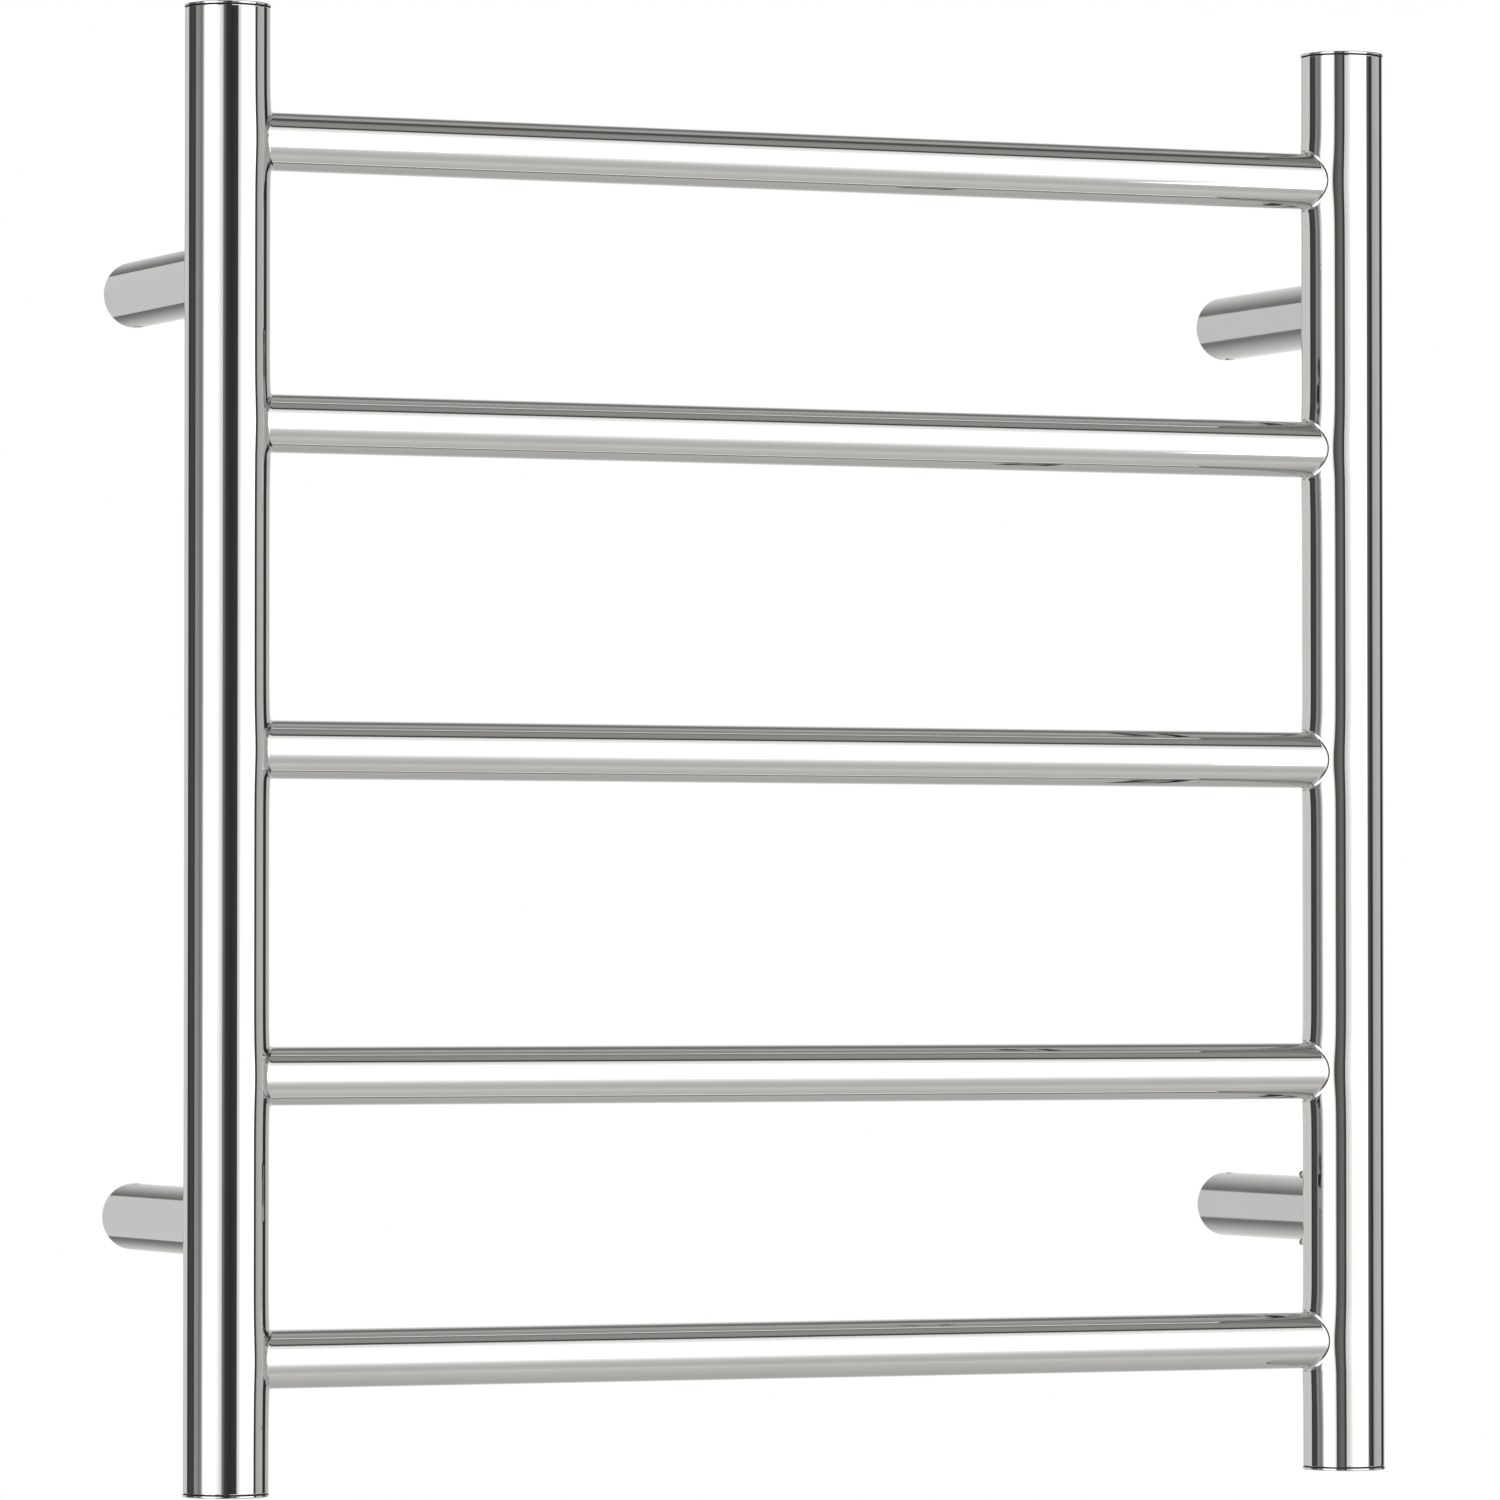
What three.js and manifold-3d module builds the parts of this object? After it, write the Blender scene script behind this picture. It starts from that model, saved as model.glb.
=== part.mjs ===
// A wall-mounted heated towel rail: two upright posts joined by five rungs, held off the wall by four
// round brackets. A heating cable runs through the tubes from a terminal block in the lower right bracket.
//
// Units are millimetres. +X is right as seen from the room, +Y points into the wall and +Z is up. The origin
// is on the wall's surface, midway between the four brackets.
import * as THREE from "three";
import { mergeVertices } from "three/addons/utils/BufferGeometryUtils.js";
import Module from "manifold-3d";

const wasm = await Module();
wasm.setup();

// Driving dimensions of the rail.
const POST_SPACING = 468;
const POST_RADIUS = 16;
const POST_WALL = 1.5;
const POST_DEPTH = 106;
const RAIL_HEIGHT = 560;
const RUNG_RADIUS = 11;
const RUNG_WALL = 1.2;
const RUNG_HEIGHTS = [228.5, 122.5, 0, -122.5, -228.5];
const BRACKET_HEIGHT = 177.5;
const GAP = 0.3;

// How far a cutting tool runs past what it cuts.
const OVERRUN = 4;

// End caps, each with a hollow plug that carries a seal ring.
const CAP_OVERHANG = 0.25;
const CAP_RIM = 0.9;
const CAP_DOME = 0.8;
const CAP_CHAMFER = 0.3;
const PLUG_RADIUS = 14.1;
const PLUG_BORE = 10.5;
const PLUG_LENGTH = 7;
const PLUG_CHAMFER = 0.6;
const GROOVE_RADIUS = 12.4;
const GROOVE_WIDTH = 2.2;
const GROOVE_DEPTH = 3.5;
const SEAL_RADIUS = 13.45;
const SEAL_THICKNESS = 1.5;

// Bracket sleeves, with a thick mouth at the wall end that fits over the wall boss.
const SLEEVE_RADIUS = 12.7;
const SLEEVE_BORE = 11.2;
const MOUTH_BORE = 9;
const MOUTH_LENGTH = 22;
const MOUTH_CHAMFER = 0.4;
const MOUTH_TAPER = 2;
const WALL_CLEARANCE = 0.4;
const SLEEVE_CHAMFER = 0.8;

// Wall bosses. The plain ones take one screw on their axis, the wired one two beside the cable bore.
const BOSS_RADIUS = 8.7;
const BOSS_LENGTH = 20;
const BOSS_CHAMFER = 0.6;
const WALL_SCREW_HOLE = 2.5;
const WALL_SCREW_HEAD = 5.2;
const WALL_SCREW_SINK = 6;
const COUNTERSINK_DEPTH = 3;
const CABLE_BORE = 4.3;
const SIDE_SCREW_HOLE = 1.5;
const SIDE_SCREW_OFFSET = 6.5;
const GROMMET_RADIUS = 4;
const GROMMET_BORE = 3.2;
const GROMMET_FLANGE = 4.9;
const GROMMET_FLANGE_THICKNESS = 1.2;
const GROMMET_LENGTH = 12;
const GROMMET_CHAMFER = 0.5;

// Set screws that clamp the sleeves on the bosses.
const SET_SCREW_Y = -7.5;
const SET_SCREW_RADIUS = 2.2;
const SET_SCREW_TOP = 12.4;
const SET_SCREW_CHAMFER = 0.3;
const CUP_RADIUS = 1.2;
const CUP_DEPTH = 0.5;
const SOCKET_FLATS = 2.5;
const SOCKET_DEPTH = 1.8;

// Spigot inside the lower right sleeve, and the two screws that hold the sleeve on it.
const SPIGOT_RADIUS = 10.9;
const SPIGOT_BORE = 6;
const SPIGOT_END = -63;
const RETAINING_SCREW_Y = -71;
const RETAINING_SHANK = 0.9;
const RETAINING_HEAD = 1.7;
const RETAINING_HEAD_HEIGHT = 1.9;
const RETAINING_TIP = 7;
const RETAINING_SEAT = SLEEVE_RADIUS + 0.1;
const RETAINING_SOCKET_FLOOR = 0.9;
const RETAINING_SOCKET_FLATS = 1.3;

// Terminal block and its brass inserts.
const BLOCK_CENTRE_Y = -43;
const BLOCK_DROP = 3.4;
const BLOCK_SIZE = new THREE.Vector3(15, 20, 9);
const POLE_PITCH = 4.9;
const INSERT_SIZE = new THREE.Vector3(3.2, 14, 4);
const WIRE_ENTRY = 1.3;
const TERMINAL_SCREW_RADIUS = 0.8;
const TERMINAL_SCREW_OFFSET = 4;
const TERMINAL_SCREW_FOOT = 0.9;
const TERMINAL_SCREW_SINK = 0.8;
const SCREW_WELL = 1.3;

// Wiring.
const HEATING_CABLE_RADIUS = 2.5;
const CABLE_BEND = 11;
const CABLE_HOLE = 6;
const COLD_LEAD_RADIUS = 2.2;
const COLD_JOINT_RADIUS = 4;
const COLD_JOINT_LENGTH = 22;
const END_TERMINATION_LENGTH = 18;
const WIRE_RADIUS = 0.8;
const LEAD_OFFSET = 1.1;
const LEAD_STRAIGHT = 1.5;
const LEAD_DEPTH = 4;
const LEAD_END_GAP = 3;
const JOINT_DROP = 3;
const JOINT_TAPER = 3;
const JOINT_NECK = 1.2;
const TERMINATION_RISE = 4;
const TERMINATION_WALL = 0.9;
const TERMINATION_TAPER = 2;
const TERMINATION_NOSE = 0.5;

// Earth lug and its screw, on the spigot's end face.
const LUG_OFFSET = 8;
const LUG_RADIUS = 2.8;
const LUG_HOLE = 1.5;
const LUG_THICKNESS = 0.8;
const LUG_SCREW_SHANK = 1.2;
const LUG_SCREW_LENGTH = 5;
const LUG_SCREW_HEAD = 2.3;
const LUG_SCREW_HEAD_HEIGHT = 1.4;
const EARTH_LEAD_START = new THREE.Vector3(3.4, 1.4, -3.2);

// Facets round each kind of circle.
const POST_SIDES = 40;
const RUNG_SIDES = 24;
const BRACKET_SIDES = 24;
const CAP_SIDES = 24;
const SMALL_SIDES = 16;
const CABLE_SIDES = 8;
const DRILL_SIDES = 12;

const LEFT = -POST_SPACING / 2;
const RIGHT = POST_SPACING / 2;
const TUBE_END = RAIL_HEIGHT / 2 - CAP_DOME - CAP_RIM - GAP;
const CORNERS = [
  { name: "upper_left", x: LEFT, side: 1 },
  { name: "upper_right", x: RIGHT, side: 1 },
  { name: "lower_left", x: LEFT, side: -1 },
  { name: "lower_right", x: RIGHT, side: -1 },
];

function metal(color, roughness) {
  return new THREE.MeshStandardMaterial({ color, roughness, metalness: 1 });
}

function plastic(color, roughness = 0.5) {
  return new THREE.MeshStandardMaterial({ color, roughness, metalness: 0 });
}

const MATERIALS = {
  polishedSteel: metal(0xe9eaec, 0.04),
  capSteel: metal(0xe6e7ea, 0.06),
  satinSteel: metal(0xc4c6ca, 0.3),
  bossSteel: metal(0xa9acb0, 0.45),
  screwSteel: metal(0x3a3a3d, 0.4),
  brightScrew: metal(0xd8d9db, 0.15),
  brass: metal(0xc9a24b, 0.35),
  copper: metal(0xd8d2c4, 0.3),
  rubber: plastic(0x1c1c1e, 0.7),
  silicone: plastic(0x6d7074, 0.6),
  nylon: plastic(0xf1f0ea, 0.45),
  cableSheath: plastic(0xb4462c, 0.5),
  leadSheath: plastic(0x2a2a2c, 0.5),
  heatShrink: plastic(0x202124, 0.45),
  liveWire: plastic(0x6b3e22, 0.5),
  neutralWire: plastic(0x2b62b5, 0.5),
  earthWire: plastic(0x4e9a3a, 0.5),
};

// A geometry as a manifold solid, keeping only its corner positions.
function toSolid(geometry) {
  const bare = geometry.clone();
  bare.deleteAttribute("normal");
  bare.deleteAttribute("uv");
  const merged = mergeVertices(bare, 1e-4);
  const vertProperties = new Float32Array(merged.attributes.position.array);
  const triVerts = new Uint32Array(merged.index.array);
  return new wasm.Manifold(new wasm.Mesh({ numProp: 3, vertProperties, triVerts }));
}

function toGeometry(solid) {
  const mesh = solid.getMesh();
  const geometry = new THREE.BufferGeometry();
  geometry.setAttribute("position", new THREE.BufferAttribute(new Float32Array(mesh.vertProperties), 3));
  geometry.setIndex(new THREE.BufferAttribute(new Uint32Array(mesh.triVerts), 1));
  geometry.computeVertexNormals();
  return geometry;
}

function cut(body, ...tools) {
  return tools.reduce((solid, tool) => solid.subtract(toSolid(tool)), toSolid(body));
}

// A turned shape about +Z from a closed or axis-to-axis profile of [radius, height] pairs, listed upwards on
// its outside.
function turned(profile, sides) {
  const points = profile.map(([radius, height]) => new THREE.Vector2(radius, height));
  return new THREE.LatheGeometry(points, sides).rotateX(Math.PI / 2);
}

function ring(outer, inner, low, high, sides) {
  const profile = [[inner, low], [outer, low], [outer, high], [inner, high], [inner, low]];
  return turned(profile, sides);
}

function rod(radius, low, high, sides = SMALL_SIDES) {
  return turned([[0, low], [radius, low], [radius, high], [0, high]], sides);
}

// Turns a shape made along +Z so that it lies along +X.
function alongX(geometry) {
  return geometry.rotateY(Math.PI / 2);
}

// Turns a shape made along +Z so that it lies along +Y.
function alongY(geometry) {
  return geometry.rotateX(-Math.PI / 2);
}

function hexagonalRod(acrossFlats, low, high) {
  return rod(acrossFlats / Math.sqrt(3), low, high, 6);
}

// A curve through straight runs with the given points kept as its only steps.
class PointCurve extends THREE.Curve {
  constructor(points) {
    super();
    this.points = points;
  }

  getPoint(t, target = new THREE.Vector3()) {
    const place = t * (this.points.length - 1);
    const index = Math.min(Math.floor(place), this.points.length - 2);
    return target.lerpVectors(this.points[index], this.points[index + 1], place - index);
  }

  getUtoTmapping(u) {
    return u;
  }

  // The direction halfway between the runs that meet at a point, so that the tube is mitred there.
  getTangent(t, target = new THREE.Vector3()) {
    const index = Math.round(t * (this.points.length - 1));
    const before = this.points[Math.max(index - 1, 0)];
    const after = this.points[Math.min(index + 1, this.points.length - 1)];
    return target.subVectors(after, before).normalize();
  }
}

// Replaces each inner corner of a route with an arc of the given radius.
function roundCorners(route, radius, steps = 4) {
  const points = [route[0]];
  for (let i = 1; i < route.length - 1; i += 1) {
    const into = new THREE.Vector3().subVectors(route[i - 1], route[i]).normalize();
    const out = new THREE.Vector3().subVectors(route[i + 1], route[i]).normalize();
    const centre = route[i].clone().addScaledVector(into, radius).addScaledVector(out, radius);
    for (let k = 0; k <= steps; k += 1) {
      const angle = (Math.PI / 2) * (k / steps);
      points.push(
        centre.clone()
          .addScaledVector(out, -radius * Math.cos(angle))
          .addScaledVector(into, -radius * Math.sin(angle)),
      );
    }
  }
  points.push(route[route.length - 1]);
  return points;
}

function wire(points, radius, sides = CABLE_SIDES) {
  const section = new THREE.Shape();
  for (let i = 0; i < sides; i += 1) {
    const angle = (2 * Math.PI * i) / sides;
    const corner = [radius * Math.cos(angle), radius * Math.sin(angle)];
    if (i === 0) {
      section.moveTo(...corner);
    } else {
      section.lineTo(...corner);
    }
  }
  section.closePath();
  return new THREE.ExtrudeGeometry(section, {
    steps: points.length - 1,
    extrudePath: new PointCurve(points),
    bevelEnabled: false,
  });
}

const rail = new THREE.Group();

function addPart(name, geometry, material, position = [0, 0, 0]) {
  const mesh = new THREE.Mesh(geometry, material);
  mesh.name = name;
  mesh.position.set(...position);
  rail.add(mesh);
  return mesh;
}

// The largest solid left after a cut, without the slivers on the far side of a cope.
function largestPiece(solid) {
  return solid.decompose().sort((a, b) => b.volume() - a.volume())[0];
}

// Posts: tubes with a cable hole at each rung, and one more at the wired bracket on the right.
function makePost(name, x) {
  const inward = -Math.sign(x);
  const tube = ring(POST_RADIUS, POST_RADIUS - POST_WALL, -TUBE_END, TUBE_END, POST_SIDES);
  const start = POST_RADIUS / 2;
  const reach = POST_RADIUS + OVERRUN;
  const tools = RUNG_HEIGHTS.map((height) =>
    outward(alongX(rod(CABLE_HOLE, start, reach)).scale(inward, 1, 1)).translate(0, 0, height));
  if (x === RIGHT) {
    tools.push(alongY(rod(CABLE_HOLE, start, reach)).translate(0, 0, -BRACKET_HEIGHT));
  }
  addPart(name, toGeometry(cut(tube, ...tools)), MATERIALS.polishedSteel, [x, -POST_DEPTH, 0]);
}

function signedVolume(geometry) {
  const position = geometry.attributes.position;
  const index = geometry.index;
  const corners = [new THREE.Vector3(), new THREE.Vector3(), new THREE.Vector3()];
  let volume = 0;
  for (let i = 0; i < index.count; i += 3) {
    corners.forEach((corner, k) => corner.fromBufferAttribute(position, index.getX(i + k)));
    volume += corners[0].dot(corners[1].clone().cross(corners[2])) / 6;
  }
  return volume;
}

// Turns a shape that mirroring has left inside out the right way round again.
function outward(geometry) {
  if (signedVolume(geometry) > 0) {
    return geometry;
  }
  const index = geometry.index.array;
  for (let i = 0; i < index.length; i += 3) {
    [index[i + 1], index[i + 2]] = [index[i + 2], index[i + 1]];
  }
  return geometry;
}

makePost("left_post", LEFT);
makePost("right_post", RIGHT);

// Rungs: tubes whose ends are coped round the posts.
RUNG_HEIGHTS.forEach((height, i) => {
  const tube = alongX(ring(RUNG_RADIUS, RUNG_RADIUS - RUNG_WALL, LEFT, RIGHT, RUNG_SIDES));
  const reach = RUNG_RADIUS + OVERRUN;
  const copes = [LEFT, RIGHT].map((x) =>
    rod(POST_RADIUS + GAP, -reach, reach, POST_SIDES).translate(x, 0, 0));
  const middle = largestPiece(cut(tube, ...copes));
  addPart(`rung_${i + 1}`, toGeometry(middle), MATERIALS.polishedSteel, [0, -POST_DEPTH, height]);
});

// End caps: a thin domed disc over the tube's end, with a hollow grooved plug inside it.
const capRadius = POST_RADIUS + CAP_OVERHANG;
const grooveTop = -GROOVE_DEPTH + GROOVE_WIDTH / 2;
const grooveBottom = -GROOVE_DEPTH - GROOVE_WIDTH / 2;
const capProfile = [
  [0, 0],
  [PLUG_BORE, 0],
  [PLUG_BORE, -PLUG_LENGTH],
  [PLUG_RADIUS - PLUG_CHAMFER, -PLUG_LENGTH],
  [PLUG_RADIUS, -PLUG_LENGTH + PLUG_CHAMFER],
  [PLUG_RADIUS, grooveBottom],
  [GROOVE_RADIUS, grooveBottom],
  [GROOVE_RADIUS, grooveTop],
  [PLUG_RADIUS, grooveTop],
  [PLUG_RADIUS, GAP],
  [capRadius, GAP],
  [capRadius, GAP + CAP_RIM - CAP_CHAMFER],
  [capRadius - CAP_CHAMFER, GAP + CAP_RIM],
  [capRadius * 0.6, GAP + CAP_RIM + CAP_DOME * 0.64],
  [0, GAP + CAP_RIM + CAP_DOME],
];

CORNERS.forEach(({ name, x, side }) => {
  const turn = side > 0 ? 0 : Math.PI;
  const cap = addPart(`end_cap_${name}`, turned(capProfile, CAP_SIDES), MATERIALS.capSteel,
    [x, -POST_DEPTH, side * TUBE_END]);
  cap.rotation.x = turn;
  const seal = new THREE.TorusGeometry(SEAL_RADIUS, SEAL_THICKNESS / 2, 5, 20);
  addPart(`cap_seal_${name}`, seal, MATERIALS.silicone,
    [x, -POST_DEPTH, side * (TUBE_END - GROOVE_DEPTH)]);
});

// Bracket sleeves: coped round the post, with a chamfered thick mouth at the wall and a tapped side hole.
const sleeveStart = -POST_DEPTH;
const mouthStart = -WALL_CLEARANCE - MOUTH_LENGTH;

function sleeveSolid(side, isRemovable) {
  const profile = [
    [SLEEVE_BORE, sleeveStart],
    [SLEEVE_RADIUS, sleeveStart],
    [SLEEVE_RADIUS, -WALL_CLEARANCE - SLEEVE_CHAMFER],
    [SLEEVE_RADIUS - SLEEVE_CHAMFER, -WALL_CLEARANCE],
    [MOUTH_BORE + MOUTH_CHAMFER, -WALL_CLEARANCE],
    [MOUTH_BORE, -WALL_CLEARANCE - MOUTH_CHAMFER],
    [MOUTH_BORE, mouthStart],
    [SLEEVE_BORE, mouthStart - MOUTH_TAPER],
    [SLEEVE_BORE, sleeveStart],
  ];
  const reach = SLEEVE_RADIUS + OVERRUN;
  const tools = [
    rod(POST_RADIUS + GAP, -reach, reach, POST_SIDES).translate(0, -POST_DEPTH, 0),
    outward(rod(SET_SCREW_RADIUS + GAP, MOUTH_BORE / 2, reach).scale(1, 1, -side))
      .translate(0, SET_SCREW_Y, 0),
  ];
  if (isRemovable) {
    tools.push(rod(RETAINING_SHANK + GAP, -reach, reach).translate(0, RETAINING_SCREW_Y, 0));
  }
  return largestPiece(cut(alongY(turned(profile, BRACKET_SIDES)), ...tools));
}

// Wall bosses: short turned plugs with a countersunk hole for the wall screw.
function plainBoss() {
  const profile = [
    [WALL_SCREW_HOLE, -BOSS_LENGTH + WALL_SCREW_SINK],
    [WALL_SCREW_HEAD, -BOSS_LENGTH + WALL_SCREW_SINK - COUNTERSINK_DEPTH],
    [WALL_SCREW_HEAD, -BOSS_LENGTH],
    [BOSS_RADIUS - BOSS_CHAMFER, -BOSS_LENGTH],
    [BOSS_RADIUS, -BOSS_LENGTH + BOSS_CHAMFER],
    [BOSS_RADIUS, 0],
    [WALL_SCREW_HOLE, 0],
    [WALL_SCREW_HOLE, -BOSS_LENGTH + WALL_SCREW_SINK],
  ];
  return alongY(turned(profile, BRACKET_SIDES));
}

function wiredBoss() {
  const profile = [
    [CABLE_BORE, -BOSS_LENGTH],
    [BOSS_RADIUS - BOSS_CHAMFER, -BOSS_LENGTH],
    [BOSS_RADIUS, -BOSS_LENGTH + BOSS_CHAMFER],
    [BOSS_RADIUS, 0],
    [CABLE_BORE, 0],
    [CABLE_BORE, -BOSS_LENGTH],
  ];
  const holes = [-1, 1].map((way) =>
    alongY(rod(SIDE_SCREW_HOLE, -BOSS_LENGTH - OVERRUN, OVERRUN, DRILL_SIDES))
      .translate(0, 0, way * SIDE_SCREW_OFFSET));
  return toGeometry(cut(alongY(turned(profile, BRACKET_SIDES)), ...holes));
}

// A socket set screw made along +Z, with its cup point down.
function setScrew() {
  const low = MOUTH_BORE;
  const profile = [
    [0, low + CUP_DEPTH],
    [CUP_RADIUS, low],
    [SET_SCREW_RADIUS - CUP_DEPTH, low],
    [SET_SCREW_RADIUS, low + CUP_DEPTH],
    [SET_SCREW_RADIUS, SET_SCREW_TOP - SET_SCREW_CHAMFER],
    [SET_SCREW_RADIUS - SET_SCREW_CHAMFER, SET_SCREW_TOP],
    [0, SET_SCREW_TOP],
  ];
  const socket = hexagonalRod(SOCKET_FLATS, SET_SCREW_TOP - SOCKET_DEPTH, SET_SCREW_TOP + OVERRUN);
  return toGeometry(cut(turned(profile, SMALL_SIDES), socket));
}

CORNERS.forEach(({ name, x, side }) => {
  const isWired = name === "lower_right";
  const place = [x, 0, side * BRACKET_HEIGHT];
  addPart(`bracket_sleeve_${name}`, toGeometry(sleeveSolid(side, isWired)), MATERIALS.satinSteel, place);
  addPart(`wall_boss_${name}`, isWired ? wiredBoss() : plainBoss(), MATERIALS.bossSteel, place);
  const screw = addPart(`set_screw_${name}`, setScrew(), MATERIALS.screwSteel,
    [x, SET_SCREW_Y, side * BRACKET_HEIGHT]);
  screw.rotation.x = side > 0 ? Math.PI : 0;
});

// Everything below sits in or on the wired bracket, at the lower right.
const wiredAxis = [RIGHT, 0, -BRACKET_HEIGHT];

const grommetFace = -BOSS_LENGTH - GAP;
const grommetProfile = [
  [GROMMET_BORE, grommetFace - GROMMET_FLANGE_THICKNESS],
  [GROMMET_FLANGE - GROMMET_CHAMFER, grommetFace - GROMMET_FLANGE_THICKNESS],
  [GROMMET_FLANGE, grommetFace - GROMMET_FLANGE_THICKNESS + GROMMET_CHAMFER],
  [GROMMET_FLANGE, grommetFace],
  [GROMMET_RADIUS, grommetFace],
  [GROMMET_RADIUS, grommetFace + GROMMET_LENGTH],
  [GROMMET_BORE, grommetFace + GROMMET_LENGTH],
  [GROMMET_BORE, grommetFace - GROMMET_FLANGE_THICKNESS],
];
addPart("cable_grommet", alongY(turned(grommetProfile, BRACKET_SIDES)), MATERIALS.rubber, wiredAxis);

// The spigot is coped round the post like the sleeve, and drilled for its three screws.
const spigotReach = SPIGOT_RADIUS + OVERRUN;
const spigot = cut(
  alongY(ring(SPIGOT_RADIUS, SPIGOT_BORE, -POST_DEPTH, SPIGOT_END, BRACKET_SIDES)),
  rod(POST_RADIUS + GAP, -spigotReach, spigotReach, POST_SIDES).translate(0, -POST_DEPTH, 0),
  rod(RETAINING_SHANK + GAP, -spigotReach, spigotReach, DRILL_SIDES).translate(0, RETAINING_SCREW_Y, 0),
  alongY(rod(LUG_SCREW_SHANK + GAP, SPIGOT_END - LUG_SCREW_LENGTH, SPIGOT_END + OVERRUN, DRILL_SIDES))
    .translate(0, 0, LUG_OFFSET),
);
addPart("bracket_spigot", toGeometry(largestPiece(spigot)), MATERIALS.bossSteel, wiredAxis);

// A small dome-headed screw made along +Z, with its head outside the sleeve.
function retainingScrew() {
  const seat = RETAINING_SEAT;
  const profile = [
    [0, RETAINING_TIP],
    [RETAINING_SHANK * 0.8, RETAINING_TIP],
    [RETAINING_SHANK, RETAINING_TIP + RETAINING_SHANK * 0.3],
    [RETAINING_SHANK, seat],
    [RETAINING_HEAD, seat],
    [RETAINING_HEAD, seat + RETAINING_HEAD_HEIGHT * 0.55],
    [RETAINING_HEAD * 0.8, seat + RETAINING_HEAD_HEIGHT * 0.85],
    [RETAINING_HEAD * 0.5, seat + RETAINING_HEAD_HEIGHT],
    [0, seat + RETAINING_HEAD_HEIGHT],
  ];
  const socket = hexagonalRod(RETAINING_SOCKET_FLATS, seat + RETAINING_SOCKET_FLOOR,
    seat + RETAINING_HEAD_HEIGHT + OVERRUN);
  return toGeometry(cut(turned(profile, SMALL_SIDES), socket));
}

["top", "bottom"].forEach((end, i) => {
  const screw = addPart(`retaining_screw_${end}`, retainingScrew(), MATERIALS.brightScrew,
    [RIGHT, RETAINING_SCREW_Y, -BRACKET_HEIGHT]);
  screw.rotation.x = i * Math.PI;
});

// Terminal block: a moulded body with three open wire ways, each with a screw well at both ends.
const blockPlace = [RIGHT, BLOCK_CENTRE_Y, -BRACKET_HEIGHT - BLOCK_DROP];
const poles = [-POLE_PITCH, 0, POLE_PITCH];
const wells = [-TERMINAL_SCREW_OFFSET, TERMINAL_SCREW_OFFSET];
const blockTools = [];
poles.forEach((x) => {
  const room = [INSERT_SIZE.x + 2 * GAP, INSERT_SIZE.y + 2 * GAP, INSERT_SIZE.z + 2 * GAP];
  blockTools.push(new THREE.BoxGeometry(...room).translate(x, 0, 0));
  blockTools.push(alongY(rod(WIRE_ENTRY, -BLOCK_SIZE.y, BLOCK_SIZE.y, DRILL_SIDES)).translate(x, 0, 0));
  wells.forEach((y) => {
    blockTools.push(rod(SCREW_WELL, 0, BLOCK_SIZE.z, DRILL_SIDES).translate(x, y, 0));
  });
});
addPart("terminal_block", toGeometry(cut(new THREE.BoxGeometry(...BLOCK_SIZE), ...blockTools)),
  MATERIALS.nylon, blockPlace);

poles.forEach((x, i) => {
  const insertTools = [alongY(rod(WIRE_ENTRY - 0.1, -BLOCK_SIZE.y, BLOCK_SIZE.y, DRILL_SIDES))];
  wells.forEach((y) => {
    insertTools.push(rod(TERMINAL_SCREW_RADIUS + GAP, 0, BLOCK_SIZE.z, DRILL_SIDES).translate(0, y, 0));
  });
  const insert = cut(new THREE.BoxGeometry(...INSERT_SIZE), ...insertTools);
  const place = [blockPlace[0] + x, blockPlace[1], blockPlace[2]];
  addPart(`terminal_insert_${i + 1}`, toGeometry(insert), MATERIALS.brass, place);
  wells.forEach((y, k) => {
    const screw = rod(TERMINAL_SCREW_RADIUS, TERMINAL_SCREW_FOOT, BLOCK_SIZE.z / 2 - TERMINAL_SCREW_SINK,
      DRILL_SIDES);
    addPart(`terminal_screw_${i + 1}${"ab"[k]}`, screw, MATERIALS.brightScrew,
      [place[0], place[1] + y, place[2]]);
  });
});

// Earth lug and its screw, on the end face of the spigot.
const lugPlace = [RIGHT, SPIGOT_END + GAP, -BRACKET_HEIGHT + LUG_OFFSET];
addPart("earth_lug", alongY(ring(LUG_RADIUS, LUG_HOLE, 0, LUG_THICKNESS, SMALL_SIDES)), MATERIALS.copper,
  lugPlace);
const lugScrewSeat = LUG_THICKNESS + GAP;
const lugScrewProfile = [
  [0, -LUG_SCREW_LENGTH],
  [LUG_SCREW_SHANK, -LUG_SCREW_LENGTH],
  [LUG_SCREW_SHANK, lugScrewSeat],
  [LUG_SCREW_HEAD, lugScrewSeat],
  [LUG_SCREW_HEAD * 0.9, lugScrewSeat + LUG_SCREW_HEAD_HEIGHT * 0.85],
  [0, lugScrewSeat + LUG_SCREW_HEAD_HEIGHT],
];
addPart("earth_screw", alongY(turned(lugScrewProfile, DRILL_SIDES)), MATERIALS.brightScrew, lugPlace);

// Leads from the cable's end to the terminal block. Each ends just inside its wire entry.
const blockBack = BLOCK_CENTRE_Y - BLOCK_SIZE.y / 2;
const leadEnd = SPIGOT_END - LEAD_END_GAP;
const entryZ = blockPlace[2];

function leadRoute(start, endX) {
  const points = [];
  const straight = blockBack - LEAD_STRAIGHT;
  for (let i = 0; i <= 8; i += 1) {
    const t = i / 8;
    const ease = t * t * (3 - 2 * t);
    points.push(new THREE.Vector3(
      THREE.MathUtils.lerp(start.x, endX, ease),
      THREE.MathUtils.lerp(start.y, straight, t),
      THREE.MathUtils.lerp(start.z, entryZ, ease),
    ));
  }
  points.push(new THREE.Vector3(endX, blockBack + LEAD_DEPTH, entryZ));
  return points;
}

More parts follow.
